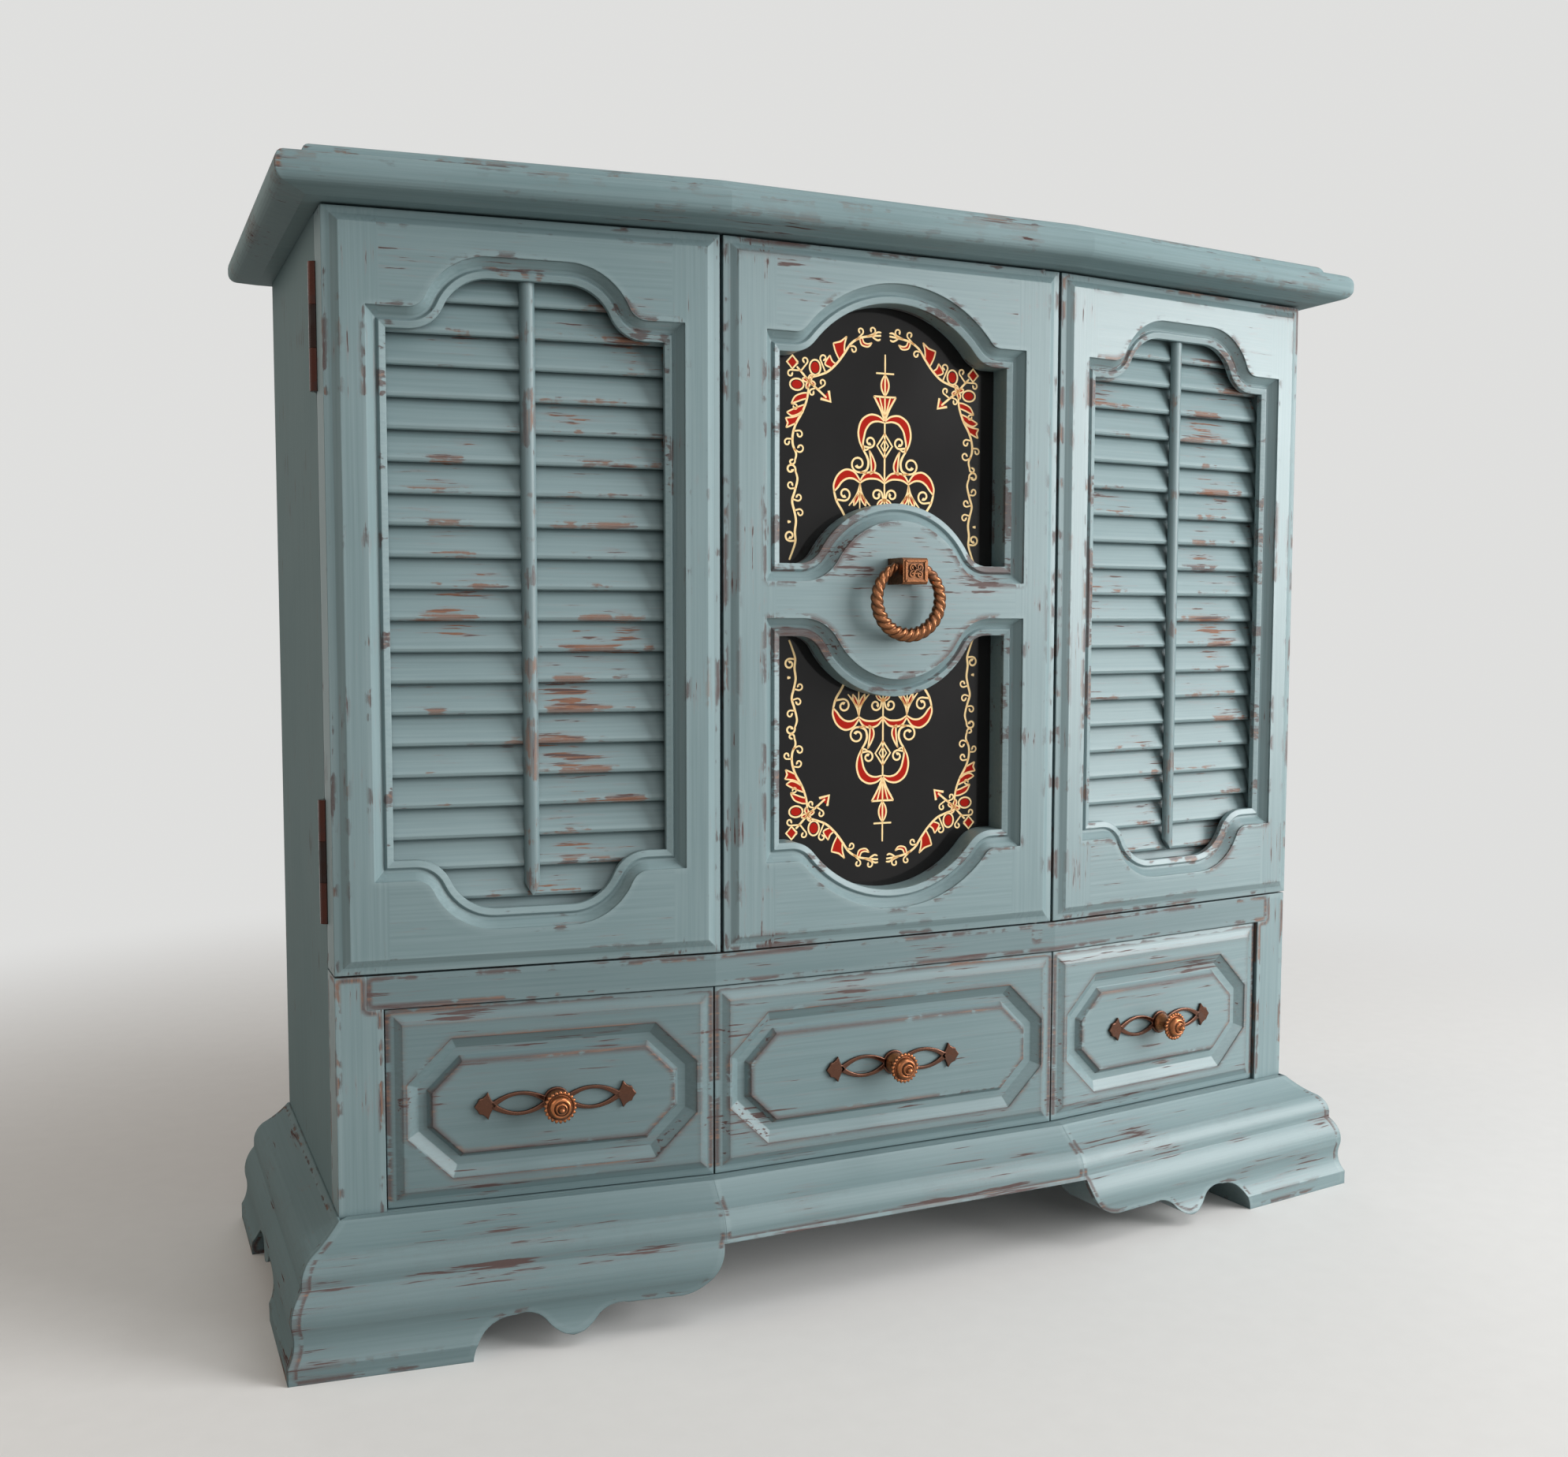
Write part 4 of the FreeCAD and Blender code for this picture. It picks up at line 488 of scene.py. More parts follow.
def stained_wood(name, along, light, dark):
    """Stained wood with long figure lines and fine open pores."""
    finish = Finish(name)
    parts = finish.split(finish.place())
    drift = finish.noise(stretched(finish, parts, along, 160.0, 14.0, 5.0), detail=2.0)
    lines = finish.node("ShaderNodeMath", {"operation": "SINE"}, {0: drift * 70.0}) * 0.5 + 0.5
    grain = finish.noise(stretched(finish, parts, along, 7.0, 0.28, 9.0), detail=1.0)
    pores = finish.step(grain, 0.58, 0.72)
    blotch = finish.noise(finish.place() / 45.0)
    tone = (lines * 0.45 + blotch * 0.55).below(1.0)
    colour = finish.colour(tone, dark, light)
    finish.set(Base_Color=finish.colour(pores * 0.6, colour, DARK_STAIN),
               Roughness=0.42 + pores * 0.3)
    finish.bump(lines * 0.2 - pores, 0.05 * MM, rounding=0.4 * MM)
    return finish.material


BOARD_LIGHT = (0.225, 0.090, 0.043, 1)
BOARD_DARK = (0.095, 0.034, 0.018, 1)
inner_upright = stained_wood("stained_wood_upright", "z", BOARD_LIGHT, BOARD_DARK)
inner_across = stained_wood("stained_wood_across", "x", BOARD_LIGHT, BOARD_DARK)
inner_deep = stained_wood("stained_wood_deep", "y", BOARD_LIGHT, BOARD_DARK)
hardboard = stained_wood("brown_hardboard", "x", (0.150, 0.080, 0.045, 1), (0.105, 0.055, 0.032, 1))
print("wood finishes are ready")

# %% [markdown]
# # Aged brass, steel and black glass
#
# The pulls are cast in a coppery brass and darkened on purpose. The high places are
# rubbed bright and the corners stay brown-black, which is again a question of edges
# and hollows. The magnets and strikes are bright steel. The glass is painted black
# from behind, so it can be a smooth and shiny black surface.

# %% Metal and glass
def aged_brass(name, bright, patina, reach):
    """Cast metal, bright where hands rub it and dark where they don't."""
    finish = Finish(name)
    place = finish.place()
    grain = finish.noise(place / 1.3, detail=3.0)
    patches = finish.noise(place / 5.0, detail=2.0)
    dark = 1.0 - finish.step(finish.hollow(reach) + finish.edge(0.6 * MM) * 0.35, 0.40, 0.92)
    dirt = (dark * 0.85 + finish.step(patches, 0.50, 0.72) * 0.45).below(1.0)
    finish.set(Base_Color=finish.colour(dirt, bright, patina), Metallic=1.0 - dirt * 0.55,
               Roughness=0.26 + dirt * 0.34 + (grain - 0.5) * 0.12)
    finish.bump(grain, 0.035 * MM, rounding=0.2 * MM)
    return finish.material


pull_brass = aged_brass("aged_copper_brass", (0.38, 0.140, 0.058, 1), (0.028, 0.016, 0.008, 1), 1.3 * MM)
ring_brass = aged_brass("ring_brass", (0.235, 0.098, 0.045, 1), (0.024, 0.014, 0.010, 1), 2.4 * MM)
plate_brass = aged_brass("dark_copper_brass", (0.115, 0.056, 0.038, 1), (0.030, 0.020, 0.016, 1), 1.6 * MM)
hinge_brass = aged_brass("hinge_brass", (0.060, 0.024, 0.018, 1), (0.022, 0.012, 0.010, 1), 1.0 * MM)
dark_hinge = aged_brass("dark_hinge_brass", (0.030, 0.018, 0.015, 1), (0.014, 0.009, 0.008, 1), 1.0 * MM)
steel = aged_brass("bright_steel", (0.56, 0.57, 0.58, 1), (0.16, 0.15, 0.14, 1), 1.0 * MM)

glass_finish = Finish("black_glass")
smear = glass_finish.noise(glass_finish.place() / 30.0, detail=3.0)
glass_finish.set(Base_Color=glass_finish.colour(smear, (0.004, 0.004, 0.004, 1), (0.010, 0.009, 0.009, 1)),
                 Roughness=0.06 + smear * 0.10, Specular_IOR_Level=0.30)
glass_finish.bump(smear, 0.01 * MM)
print("metals and glass are ready")

# %% [markdown]
# # Hand the finishes to the boards
#
# Every board of the frame keeps its shape and gets a new material in its slots. A
# table of names is the plainest way, and a board that it forgets would keep the
# frame's grey, so the last line counts them.

# %% Assign finishes
finishes = {
    top_paint: ["top_slab", "top_cap"],
    rod_paint: ["left_tilt_rod", "right_tilt_rod"],
    rail_paint: ["front_rail"],
    drawer_paints[0]: ["left_drawer_front"],
    drawer_paints[1]: ["centre_drawer_front"],
    drawer_paints[2]: ["right_drawer_front"],
    base_paints[0]: ["base_front_left"],
    base_paints[1]: ["base_front_centre", "floor_board"],
    base_paints[2]: ["base_front_right"],
    post_paint: ["left_post", "right_post"],
    centre_paint: ["centre_door_frame"],
    left_door_paint: ["left_door_frame"],
    right_door_paint: ["right_door_frame"],
    left_slat_paint: ["left_louvres"],
    right_slat_paint: ["right_louvres"],
    side_paint: ["left_side", "right_side"],
    side_base_paint: ["base_side_left", "base_side_right"],
    inner_upright: ["left_partition", "right_partition"],
    hardboard: ["back_panel", "centre_backing"],
    inner_across: ["deck", "centre_shelves", "left_drawer_bottom",
                   "centre_drawer_bottom", "right_drawer_bottom"],
    inner_deep: ["drawer_dividers", "drawer_guides", "foot_blocks", "left_drawer_box",
                 "centre_drawer_box", "right_drawer_box"],
    hinge_brass: ["left_frame_leaves", "right_frame_leaves", "hinge_pins"],
    dark_hinge: ["left_door_leaves", "right_door_leaves"],
    steel: ["door_magnets", "pivot_pins", "left_door_strike", "right_door_strike", "centre_door_strike"],
    plate_brass: ["left_pull_plate", "centre_pull_plate", "right_pull_plate"],
    pull_brass: ["left_knob", "centre_knob", "right_knob"],
    ring_brass: ["ring_block", "ring_pull"],
    glass_finish.material: ["centre_glass"],
}


def dress(thing, material):
    thing.data.materials.clear()
    thing.data.materials.append(material)


dressed = [name for material, names in finishes.items() for name in names]
for material, names in finishes.items():
    for name in names:
        dress(nodes[name], material)
print(len(dressed), "boards dressed, left over:", sorted(set(nodes) - set(dressed)))

# %% [markdown]
# # Sheets, ribbons and turned forms
#
# The small metalwork is made from three kinds of mesh. A sweep joins rings of points,
# which gives turned knobs and the twisted ring. A ribbon follows a line in the plane
# of a panel with a width that may change. A filled outline is one flat face. The last
# two are given thickness by a Solidify modifier, which keeps the mesh code short.

# %% Mesh helpers
def finish_mesh(name, shape, material, smooth=True):
    """Close a bmesh into an object with its material."""
    bmesh.ops.recalc_face_normals(shape, faces=shape.faces)
    mesh = bpy.data.meshes.new(name)
    shape.to_mesh(mesh)
    shape.free()
    for face in mesh.polygons:
        face.use_smooth = smooth
    mesh.materials.append(material)
    return new_object(name, mesh)


def sweep(shape, rings):
    """Join rings of points with quads and close both ends."""
    made = [[shape.verts.new(point) for point in ring] for ring in rings]
    for first, second in zip(made, made[1:]):
        for place in range(len(first)):
            after = (place + 1) % len(first)
            shape.faces.new((first[place], first[after], second[after], second[place]))
    shape.faces.new(list(reversed(made[0])))
    shape.faces.new(made[-1])


def thicken(thing, thickness):
    """Give a flat piece a thickness, half of it on each side."""
    thick = thing.modifiers.new("Thickness", "SOLIDIFY")
    thick.thickness = thickness
    thick.offset = 0.0


def apply_modifiers(thing):
    """Turn a piece's modifiers into plain mesh."""
    graph = bpy.context.evaluated_depsgraph_get()
    flat = bpy.data.meshes.new_from_object(thing.evaluated_get(graph))
    thing.modifiers.clear()
    thing.data = flat


def ribbon(shape, points, widths, to_space):
    """A flat strip along (x, z) points, as wide at each one as asked."""
    rows = []
    for number, point in enumerate(points):
        before = Vector(points[max(number - 1, 0)])
        after = Vector(points[min(number + 1, len(points) - 1)])
        run = (after - before).normalized()
        side = Vector((-run.y, run.x)) * widths[number] / 2
        rows.append([shape.verts.new(to_space(Vector(point) + side * way)) for way in (1, -1)])
    for (a, b), (c, d) in zip(rows, rows[1:]):
        shape.faces.new((a, b, d, c))


def fill(shape, outline, to_space):
    """One flat face inside (x, z) points."""
    shape.faces.new([shape.verts.new(to_space(Vector(point))) for point in outline])


print("mesh helpers are ready")

# %% [markdown]
# # The ring pull
#
# The ring is cast to look like three twisted strands, thick at the bottom and thinner
# where it goes into its block. A torus with a bump would show a smooth outline. Here
# the section itself has three lobes and turns as it goes round, so that the outline
# shows the rope too. A straight pin joins its two ends inside the block.

# %% Twisted ring
RING_RADIUS = 11.9 * MM
RING_OUTER = 13.9 * MM
RING_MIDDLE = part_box("ring_pull")[0].z + RING_OUTER
RING_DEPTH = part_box("centre_door_frame")[0].y - 6.0 * MM
THIN_END = 1.55 * MM
SWELL = 0.90 * MM
GAP = math.asin(4.9 * MM / RING_RADIUS)
PIN_RADIUS = 1.15 * MM
PIN_SIDES = 16


def rope_ring(ridges, steps, around):
    """Three lobes that turn as they follow the ring from one side of the gap to the other."""
    shape = bmesh.new()
    rings = []
    for number in range(steps + 1):
        share = number / steps
        angle = GAP + (2 * math.pi - 2 * GAP) * share
        out = Vector((math.sin(angle), 0, math.cos(angle)))
        thick = THIN_END + SWELL * math.sin(math.pi * share) ** 0.8
        centre = Vector((0, RING_DEPTH, RING_MIDDLE)) + out * min(RING_RADIUS, RING_OUTER - thick)
        ring = []
        for place in range(around):
            turn = 2 * math.pi * place / around
            lobe = abs(math.cos(1.5 * turn - math.pi * ridges * share))
            reach = thick * (0.70 + 0.30 * lobe ** 0.8)
            ring.append(centre + out * reach * math.cos(turn) + Vector((0, reach * math.sin(turn), 0)))
        rings.append(ring)
    sweep(shape, rings)
    pin_height = RING_MIDDLE + RING_RADIUS * math.cos(GAP)
    turns = [2 * math.pi * k / PIN_SIDES for k in range(PIN_SIDES)]
    sweep(shape, [[Vector((across * MM, RING_DEPTH + PIN_RADIUS * math.cos(turn),
                           pin_height + PIN_RADIUS * math.sin(turn))) for turn in turns]
                  for across in (-6, -3, 3, 6)])
    return finish_mesh("twisted_ring", shape, ring_brass)


ring = rope_ring(ridges=24, steps=330, around=30)
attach(ring, "ring")
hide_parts("ring_pull")
print("ring has", len(ring.data.polygons), "faces")

# %% [markdown]
# # The relief on the block
#
# The block's front has a raised rim round a field of small curls. It is only a few
# millimetres across, so curls of ribbon inside a thin rim are enough to catch the
# light.

# %% Block relief
def spiral(centre, radius, turns, start, hand, steps=22, close=0.12):
    """Points that wind inwards round a centre."""
    points = []
    for number in range(steps + 1):
        share = number / steps
        reach = radius * (1 - (1 - close) * share)
        angle = start + hand * 2 * math.pi * turns * share
        points.append((centre[0] + reach * math.cos(angle), centre[1] + reach * math.sin(angle)))
    return points


block_low, block_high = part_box("ring_block")
BLOCK_MIDDLE = (block_low.z + block_high.z) / 2
RIM_ACROSS, RIM_UP, RIM_WIDTH = 3.55, 3.2, 0.75
CURL_RADIUS, CURL_TURNS, CURL_WIDTH = 1.25, 1.35, 0.48
CURLS = [(-1.35, -1.1, 1, 0.6), (1.2, -1.2, -1, 2.4), (-1.1, 1.2, -1, 4.0), (1.3, 1.15, 1, 5.2),
         (0.1, 0.0, 1, 1.6)]
RELIEF_THICKNESS = 0.9 * MM


def on_block(lift):
    return lambda point: Vector((point.x * MM, block_low.y - lift * MM, BLOCK_MIDDLE + point.y * MM))


relief = bmesh.new()
rim = [(across * RIM_ACROSS, up * RIM_UP) for across, up in ((-1, -1), (1, -1), (1, 1), (-1, 1))]
for start, end in zip(rim, rim[1:] + rim[:1]):
    ribbon(relief, [start, end], [RIM_WIDTH, RIM_WIDTH], on_block(0.0))
for across, up, hand, start in CURLS:
    coil = spiral((across, up), CURL_RADIUS, CURL_TURNS, start, hand)
    ribbon(relief, coil, [CURL_WIDTH] * len(coil), on_block(0.1))
relief = finish_mesh("block_relief", relief, ring_brass, smooth=False)
thicken(relief, RELIEF_THICKNESS)
apply_modifiers(relief)
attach(relief, "centre_door")
print("relief has", len(relief.data.polygons), "faces")

# %% [markdown]
# # Drawer pulls
#
# Each drawer has a turned knob in front of a pierced plate. The knob is a shallow dome
# with a ring and a nipple, and small beads round its rim. Its profile is a line of
# (depth, radius) places in millimetres, and its rim is pushed in and out as it goes
# round to make the beads. The plate is a pair of leaf loops with a three-pointed tip
# on each end. A pull's own zero lies a little behind the middle of its plate, and both
# sit square to the drawer that they belong to.

# %% Pull places
SEAT = 0.3 * MM
pulls = {"left": -1, "centre": 0, "right": 1}
pull_places = {}
for name, side in pulls.items():
    low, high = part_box(name + "_pull_plate")
    turn = Matrix.Rotation(side * math.atan(BEND_SLOPE), 4, "Z")
    pull_places[name] = Matrix.Translation((low + high) / 2) @ turn @ Matrix.Translation((0, SEAT, 0))
print({name: [round(v, 4) for v in place.translation] for name, place in pull_places.items()})

# %% Beaded knobs
SHANK_LINE = [(9.0, 0.15), (9.0, 1.4), (-0.9, 1.4)]
NECK_LINE = [(-0.9, 3.4), (-1.6, 3.5), (-2.4, 3.1), (-3.8, 2.6), (-5.2, 2.6), (-6.4, 3.2), (-7.0, 4.0)]
RIM_LINE = [(-7.4, 4.45), (-7.8, 4.65), (-8.3, 4.65), (-8.7, 4.35), (-8.4, 3.95), (-8.2, 3.75)]
DOME_LINE = [(-8.9, 3.70), (-9.7, 3.45), (-10.3, 2.95), (-10.55, 2.45), (-10.2, 2.15), (-9.95, 2.0)]
NIPPLE_LINE = [(-10.6, 1.95), (-11.1, 1.70), (-11.2, 1.40), (-10.9, 1.15), (-10.8, 1.05), (-11.5, 1.0),
               (-12.2, 0.85), (-12.6, 0.55), (-12.8, 0.05)]
KNOB_LINE = SHANK_LINE + NECK_LINE + RIM_LINE + DOME_LINE + NIPPLE_LINE
BEADS = 22
BEAD_STEPS = 6
BEAD_DEPTH = -8.15
BEAD_HALF = 0.85
BEADS_FROM = 4.2
BEAD_RISE, BEAD_SINK = 0.95, 0.35


def beaded_knob(name, place, body):
    """A turned knob whose rim is drawn out into beads."""
    shape = bmesh.new()
    around = BEADS * BEAD_STEPS
    rings = []
    for depth, radius in KNOB_LINE:
        on_rim = max(0.0, 1 - abs(depth - BEAD_DEPTH) / BEAD_HALF) if radius > BEADS_FROM else 0.0
        ring = []
        for number in range(around):
            turn = 2 * math.pi * number / around
            bead = on_rim ** 0.5 * (BEAD_RISE * abs(math.sin(turn * BEADS / 2)) ** 0.8 - BEAD_SINK)
            reach = (radius + bead) * MM
            local = Vector((reach * math.cos(turn), depth * MM, reach * math.sin(turn)))
            ring.append(place @ local)
        rings.append(ring)
    sweep(shape, rings)
    knob = finish_mesh(name + "_beaded_knob", shape, pull_brass)
    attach(knob, body)
    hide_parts(name + "_knob")
    return knob


for name in pulls:
    knob = beaded_knob(name, pull_places[name], name + "_drawer")
print("a knob has", len(knob.data.polygons), "faces")

# %% Pierced plates
LOOP_FROM, LOOP_TO = 2.6, 20.0
LOOP_BOW = 3.2
LOOP_WIDE, LOOP_NARROWED = 1.9, 0.75
HALF_TIP = [(19.2, 0.9), (20.0, 1.5), (20.6, 2.7), (21.2, 4.4), (22.1, 3.2), (23.0, 2.6), (24.0, 2.4),
            (24.4, 1.4)]
TIP = [(18.4, 0.0)] + HALF_TIP + [(25.5, 0.0)] + [(x, -z) for x, z in reversed(HALF_TIP)]
DISC_RADIUS = 4.2
DISC_SIDES = 24
PLATE_THICKNESS = 1.15 * MM
PLATE_SOFTNESS = 0.28 * MM


def bow_line(start, end, bow, steps=14):
    """A curved line between two points that bulges to its left."""
    start, end = Vector(start), Vector(end)
    run = end - start
    side = Vector((-run.y, run.x)).normalized()
    return [tuple(start + run * t + side * bow * (1 - (2 * t - 1) ** 2))
            for t in (number / steps for number in range(steps + 1))]


def leaf_plate(name, place, body):
    """Two leaf loops with a pointed tip on each, and a disc under the knob."""
    shape = bmesh.new()

    def on_panel(point):
        return place @ Vector((point.x * MM, -SEAT, point.y * MM))

    for way in (-1, 1):
        for bow in (LOOP_BOW, -LOOP_BOW):
            line = bow_line((LOOP_FROM * way, 0), (LOOP_TO * way, 0), bow * way)
            widths = [LOOP_WIDE - LOOP_NARROWED * math.sin(math.pi * k / (len(line) - 1))
                      for k in range(len(line))]
            ribbon(shape, line, widths, on_panel)
        fill(shape, [(x * way, z) for x, z in TIP], on_panel)
    turns = [2 * math.pi * k / DISC_SIDES for k in range(DISC_SIDES)]
    disc = [(DISC_RADIUS * math.cos(turn), DISC_RADIUS * math.sin(turn)) for turn in turns]
    fill(shape, disc, on_panel)
    plate = finish_mesh(name + "_leaf_plate", shape, plate_brass, smooth=False)
    thicken(plate, PLATE_THICKNESS)
    soft = plate.modifiers.new("Soft edges", "BEVEL")
    soft.width = PLATE_SOFTNESS
    soft.segments = 2
    soft.limit_method = "ANGLE"
    apply_modifiers(plate)
    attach(plate, body)
    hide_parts(name + "_pull_plate")
    return plate


for name in pulls:
    plate = leaf_plate(name, pull_places[name], name + "_drawer")
print("a plate has", len(plate.data.polygons), "faces")

# %% [markdown]
# # Gilded scrolls on the glass
#
# The panes carry a thin printed ornament in cream with red fills: a stem with paired
# scrolls in the middle, vines down both sides and along the arch, and a flower in each
# upper corner. A pattern could be drawn by a shader, but lines this fine need an exact
# outline, so each stroke is a ribbon. Half of one pane is drawn, and mirrored across
# and down for the rest. The forms are ordinary scrollwork, laid out by measure: each
# place is (across, up) in millimetres from the middle of the door.

# %% Scroll drawing
FULLER = 1.18
BALL_FROM, BALL_GROWTH = 0.8, 4.5
BERRY_SIDES = 18
RED_SHARE = 0.72
strokes = []
fills = []


def stroke(points, width, taper=0.5):
    """One cream line, thinner at both ends."""
    last = len(points) - 1
    from_end = [min(1.0, 4 * min(k, last - k) / last) for k in range(last + 1)]
    strokes.append((points, [FULLER * width * (taper + (1 - taper) * share) for share in from_end]))


def smooth_line(points, steps=7):
    """A line through the points without corners, by the Catmull-Rom rule."""
    ends = [Vector(point) for point in [points[0], *points, points[-1]]]
    line = []
    for a, b, c, d in zip(ends, ends[1:], ends[2:], ends[3:]):
        for number in range(steps):
            t = number / steps
            curve = (2 * b + (c - a) * t + (2 * a - 5 * b + 4 * c - d) * t * t
                     + (3 * b - a - 3 * c + d) * t ** 3)
            line.append(tuple(curve / 2))
    line.append(points[-1])
    return line


def leaf(start, end, outer, inner, width=0.5):
    """A curved leaf: two lines that meet at both ends, with red between them."""
    first = bow_line(start, end, outer, 12)
    second = bow_line(start, end, inner, 12)
    stroke(first, width, 0.7)
    stroke(second, width, 0.7)
    fills.append(first + second[-2:0:-1])


def band(outer, inner, width=0.55):
    """Two lines that share both ends, with red between them."""
    first, second = smooth_line(outer), smooth_line(inner)
    stroke(first, width, 0.8)
    stroke(second, width, 0.8)
    fills.append(first + second[-2:0:-1])


def curl(root, centre, radius, turns=0.85, width=0.6, hand=None):
    """A tendril that leaves its root, winds round a centre and closes with a small ball."""
    away = Vector(root) - Vector(centre)
    if hand is None:
        hand = 1 if away.x * away.y > 0 else -1
    lean = math.acos(min(1.0, radius / away.length))
    start = math.atan2(away.y, away.x) + hand * lean
    points = [root] + spiral(centre, radius, turns, start, hand, close=0.34)
    last = len(points) - 1
    strokes.append((points, [width * (1.1 + BALL_GROWTH * max(0.0, k / last - BALL_FROM))
                             for k in range(last + 1)]))


print("drawing helpers are ready")

# %% Centre stem
stroke([(0, 83.4), (0, 80.0), (0, 77.0)], 0.5, 0.8)
stroke([(0, 77.0), (3.4, 77.0)], 0.55, 0.9)
leaf((0, 76.6), (0, 69.4), 1.45, 0.0)
stroke([(0, 69.1), (4.2, 69.2)], 0.6, 0.9)
stroke(smooth_line([(4.2, 69.2), (2.6, 66.6), (1.3, 64.2), (0.3, 61.6)]), 0.6, 0.8)
stroke([(0, 69.0), (0, 65.0), (0, 61.0)], 0.5, 0.9)
stroke(smooth_line([(2.0, 68.9), (1.2, 66.0), (0.2, 62.6)]), 0.45, 0.8)
fills.append([(0.0, 68.6), (3.5, 68.7), (1.7, 65.6), (0.6, 63.4), (0.0, 63.0)])
band([(0.2, 61.0), (2.4, 62.6), (5.6, 62.9), (8.6, 61.0), (9.9, 57.4), (9.5, 53.8), (8.0, 50.8)],
     [(0.2, 60.4), (2.8, 60.8), (5.2, 60.1), (7.0, 58.0), (7.8, 55.4), (8.2, 53.0), (8.0, 50.8)])
stroke(smooth_line([(8.0, 50.8), (6.7, 48.8), (6.1, 46.6), (6.8, 44.3), (9.2, 43.2)]), 0.68, 0.8)
band([(5.8, 50.9), (4.5, 48.8), (3.5, 46.2), (3.9, 44.0), (5.4, 42.9)],
     [(5.8, 50.9), (5.4, 48.9), (5.1, 46.4), (5.0, 44.4), (5.4, 42.9)], 0.5)
stroke(smooth_line([(8.4, 52.6), (7.4, 51.0), (5.8, 51.6)]), 0.5)
curl((8.3, 52.2), (5.6, 53.8), 2.0, 1.1)
curl((6.6, 43.2), (9.9, 46.2), 2.8, 1.15)
stroke([(0, 56.8), (1.5, 54.6), (2.9, 52.6), (1.5, 50.6), (0, 48.4)], 0.5, 0.9)
stroke([(0, 54.8), (1.4, 52.6), (0, 50.4)], 0.42, 0.9)
stroke([(0, 60.6), (0, 52.0), (0, 40.5)], 0.55, 0.9)
print(len(strokes), "strokes and", len(fills), "fills in the stem")

# %% Wide tier
band([(0.2, 40.8), (2.2, 43.0), (5.0, 43.6), (7.6, 42.8), (9.2, 40.5)],
     [(0.2, 40.0), (2.4, 41.2), (5.0, 41.4), (7.2, 41.0), (9.2, 39.8)])
band([(9.2, 40.6), (11.4, 43.4), (14.6, 44.1), (17.5, 42.2), (19.0, 39.0), (18.9, 36.6)],
     [(9.2, 39.8), (11.6, 41.1), (14.0, 41.1), (16.0, 39.9), (17.5, 38.0), (18.9, 36.6)])
curl((0.3, 33.6), (2.8, 35.9), 2.0, 1.1, hand=-1)
curl((18.2, 34.0), (15.0, 35.9), 2.3, 1.1)
stroke(smooth_line([(9.2, 39.8), (8.9, 37.2), (7.6, 34.6), (5.2, 32.0)]), 0.6)
stroke(smooth_line([(9.2, 39.8), (9.8, 37.2), (11.2, 34.6), (13.4, 32.0)]), 0.6)
leaf((9.3, 36.4), (7.0, 32.0), 0.5, -0.7, 0.45)
leaf((9.3, 36.4), (11.6, 32.0), 0.7, -0.5, 0.45)
stroke([(9.3, 37.8), (9.3, 34.0), (9.3, 30.6)], 0.45, 0.8)
stroke(smooth_line([(18.9, 36.6), (17.9, 33.4), (16.0, 30.4), (14.4, 27.5)]), 0.68, 0.8)
stroke([(0, 40.5), (0, 35.0), (0, 30.5)], 0.5, 0.9)
leaf((0, 34.6), (2.8, 31.6), 0.9, -0.1, 0.45)
print(len(strokes), "strokes and", len(fills), "fills with the tier")

# %% Side vine
stroke(smooth_line([(28.4, 71.0), (28.8, 67.2), (30.4, 62.8), (32.8, 58.6), (34.0, 55.0), (34.0, 51.6),
                    (32.8, 48.6), (33.2, 46.4)]), 0.66, 0.8)
band([(28.7, 68.8), (30.6, 68.6), (33.2, 67.4), (34.6, 65.0)],
     [(28.9, 67.0), (30.8, 66.4), (32.6, 65.7), (34.6, 65.0)], 0.45)
curl((34.6, 65.0), (33.3, 63.9), 1.0, width=0.5)
band([(29.6, 65.0), (32.2, 64.0), (34.8, 62.8), (36.2, 62.0)],
     [(30.4, 62.9), (32.2, 61.6), (34.4, 61.0), (36.2, 62.0)], 0.45)
band([(31.2, 61.6), (33.8, 60.6), (36.6, 60.2)], [(32.8, 58.7), (34.6, 57.8), (36.4, 57.0)], 0.45)
stroke([(36.6, 60.2), (35.8, 58.6), (36.4, 57.0)], 0.5, 0.9)
for root, centre, radius in (
        ((33.8, 56.0), (31.7, 55.0), 1.3), ((34.0, 53.4), (35.9, 52.2), 1.2),
        ((33.8, 50.2), (31.4, 50.6), 1.5), ((33.0, 37.2), (34.7, 38.3), 1.3),
        ((34.1, 33.6), (32.0, 34.3), 1.3), ((33.4, 29.8), (31.4, 29.0), 1.3)):
    curl(root, centre, radius, width=0.5)
curl((33.2, 46.6), (34.3, 46.0), 1.1, width=0.55, hand=1)
stroke(smooth_line([(33.0, 42.8), (32.3, 40.2), (33.2, 36.4), (34.2, 33.0), (33.4, 29.6), (32.8, 26.4),
                    (33.2, 22.8), (33.0, 19.6), (34.0, 16.4), (35.2, 13.4)]), 0.66, 0.8)
curl((33.0, 42.6), (34.7, 43.4), 1.7, 1.0, hand=-1)
curl((33.1, 19.8), (35.0, 21.4), 1.8, 1.1)
stroke([(35.2, 26.4), (35.3, 26.0), (35.2, 25.6)], 1.0, 0.9)
print(len(strokes), "strokes and", len(fills), "fills with the side vine")

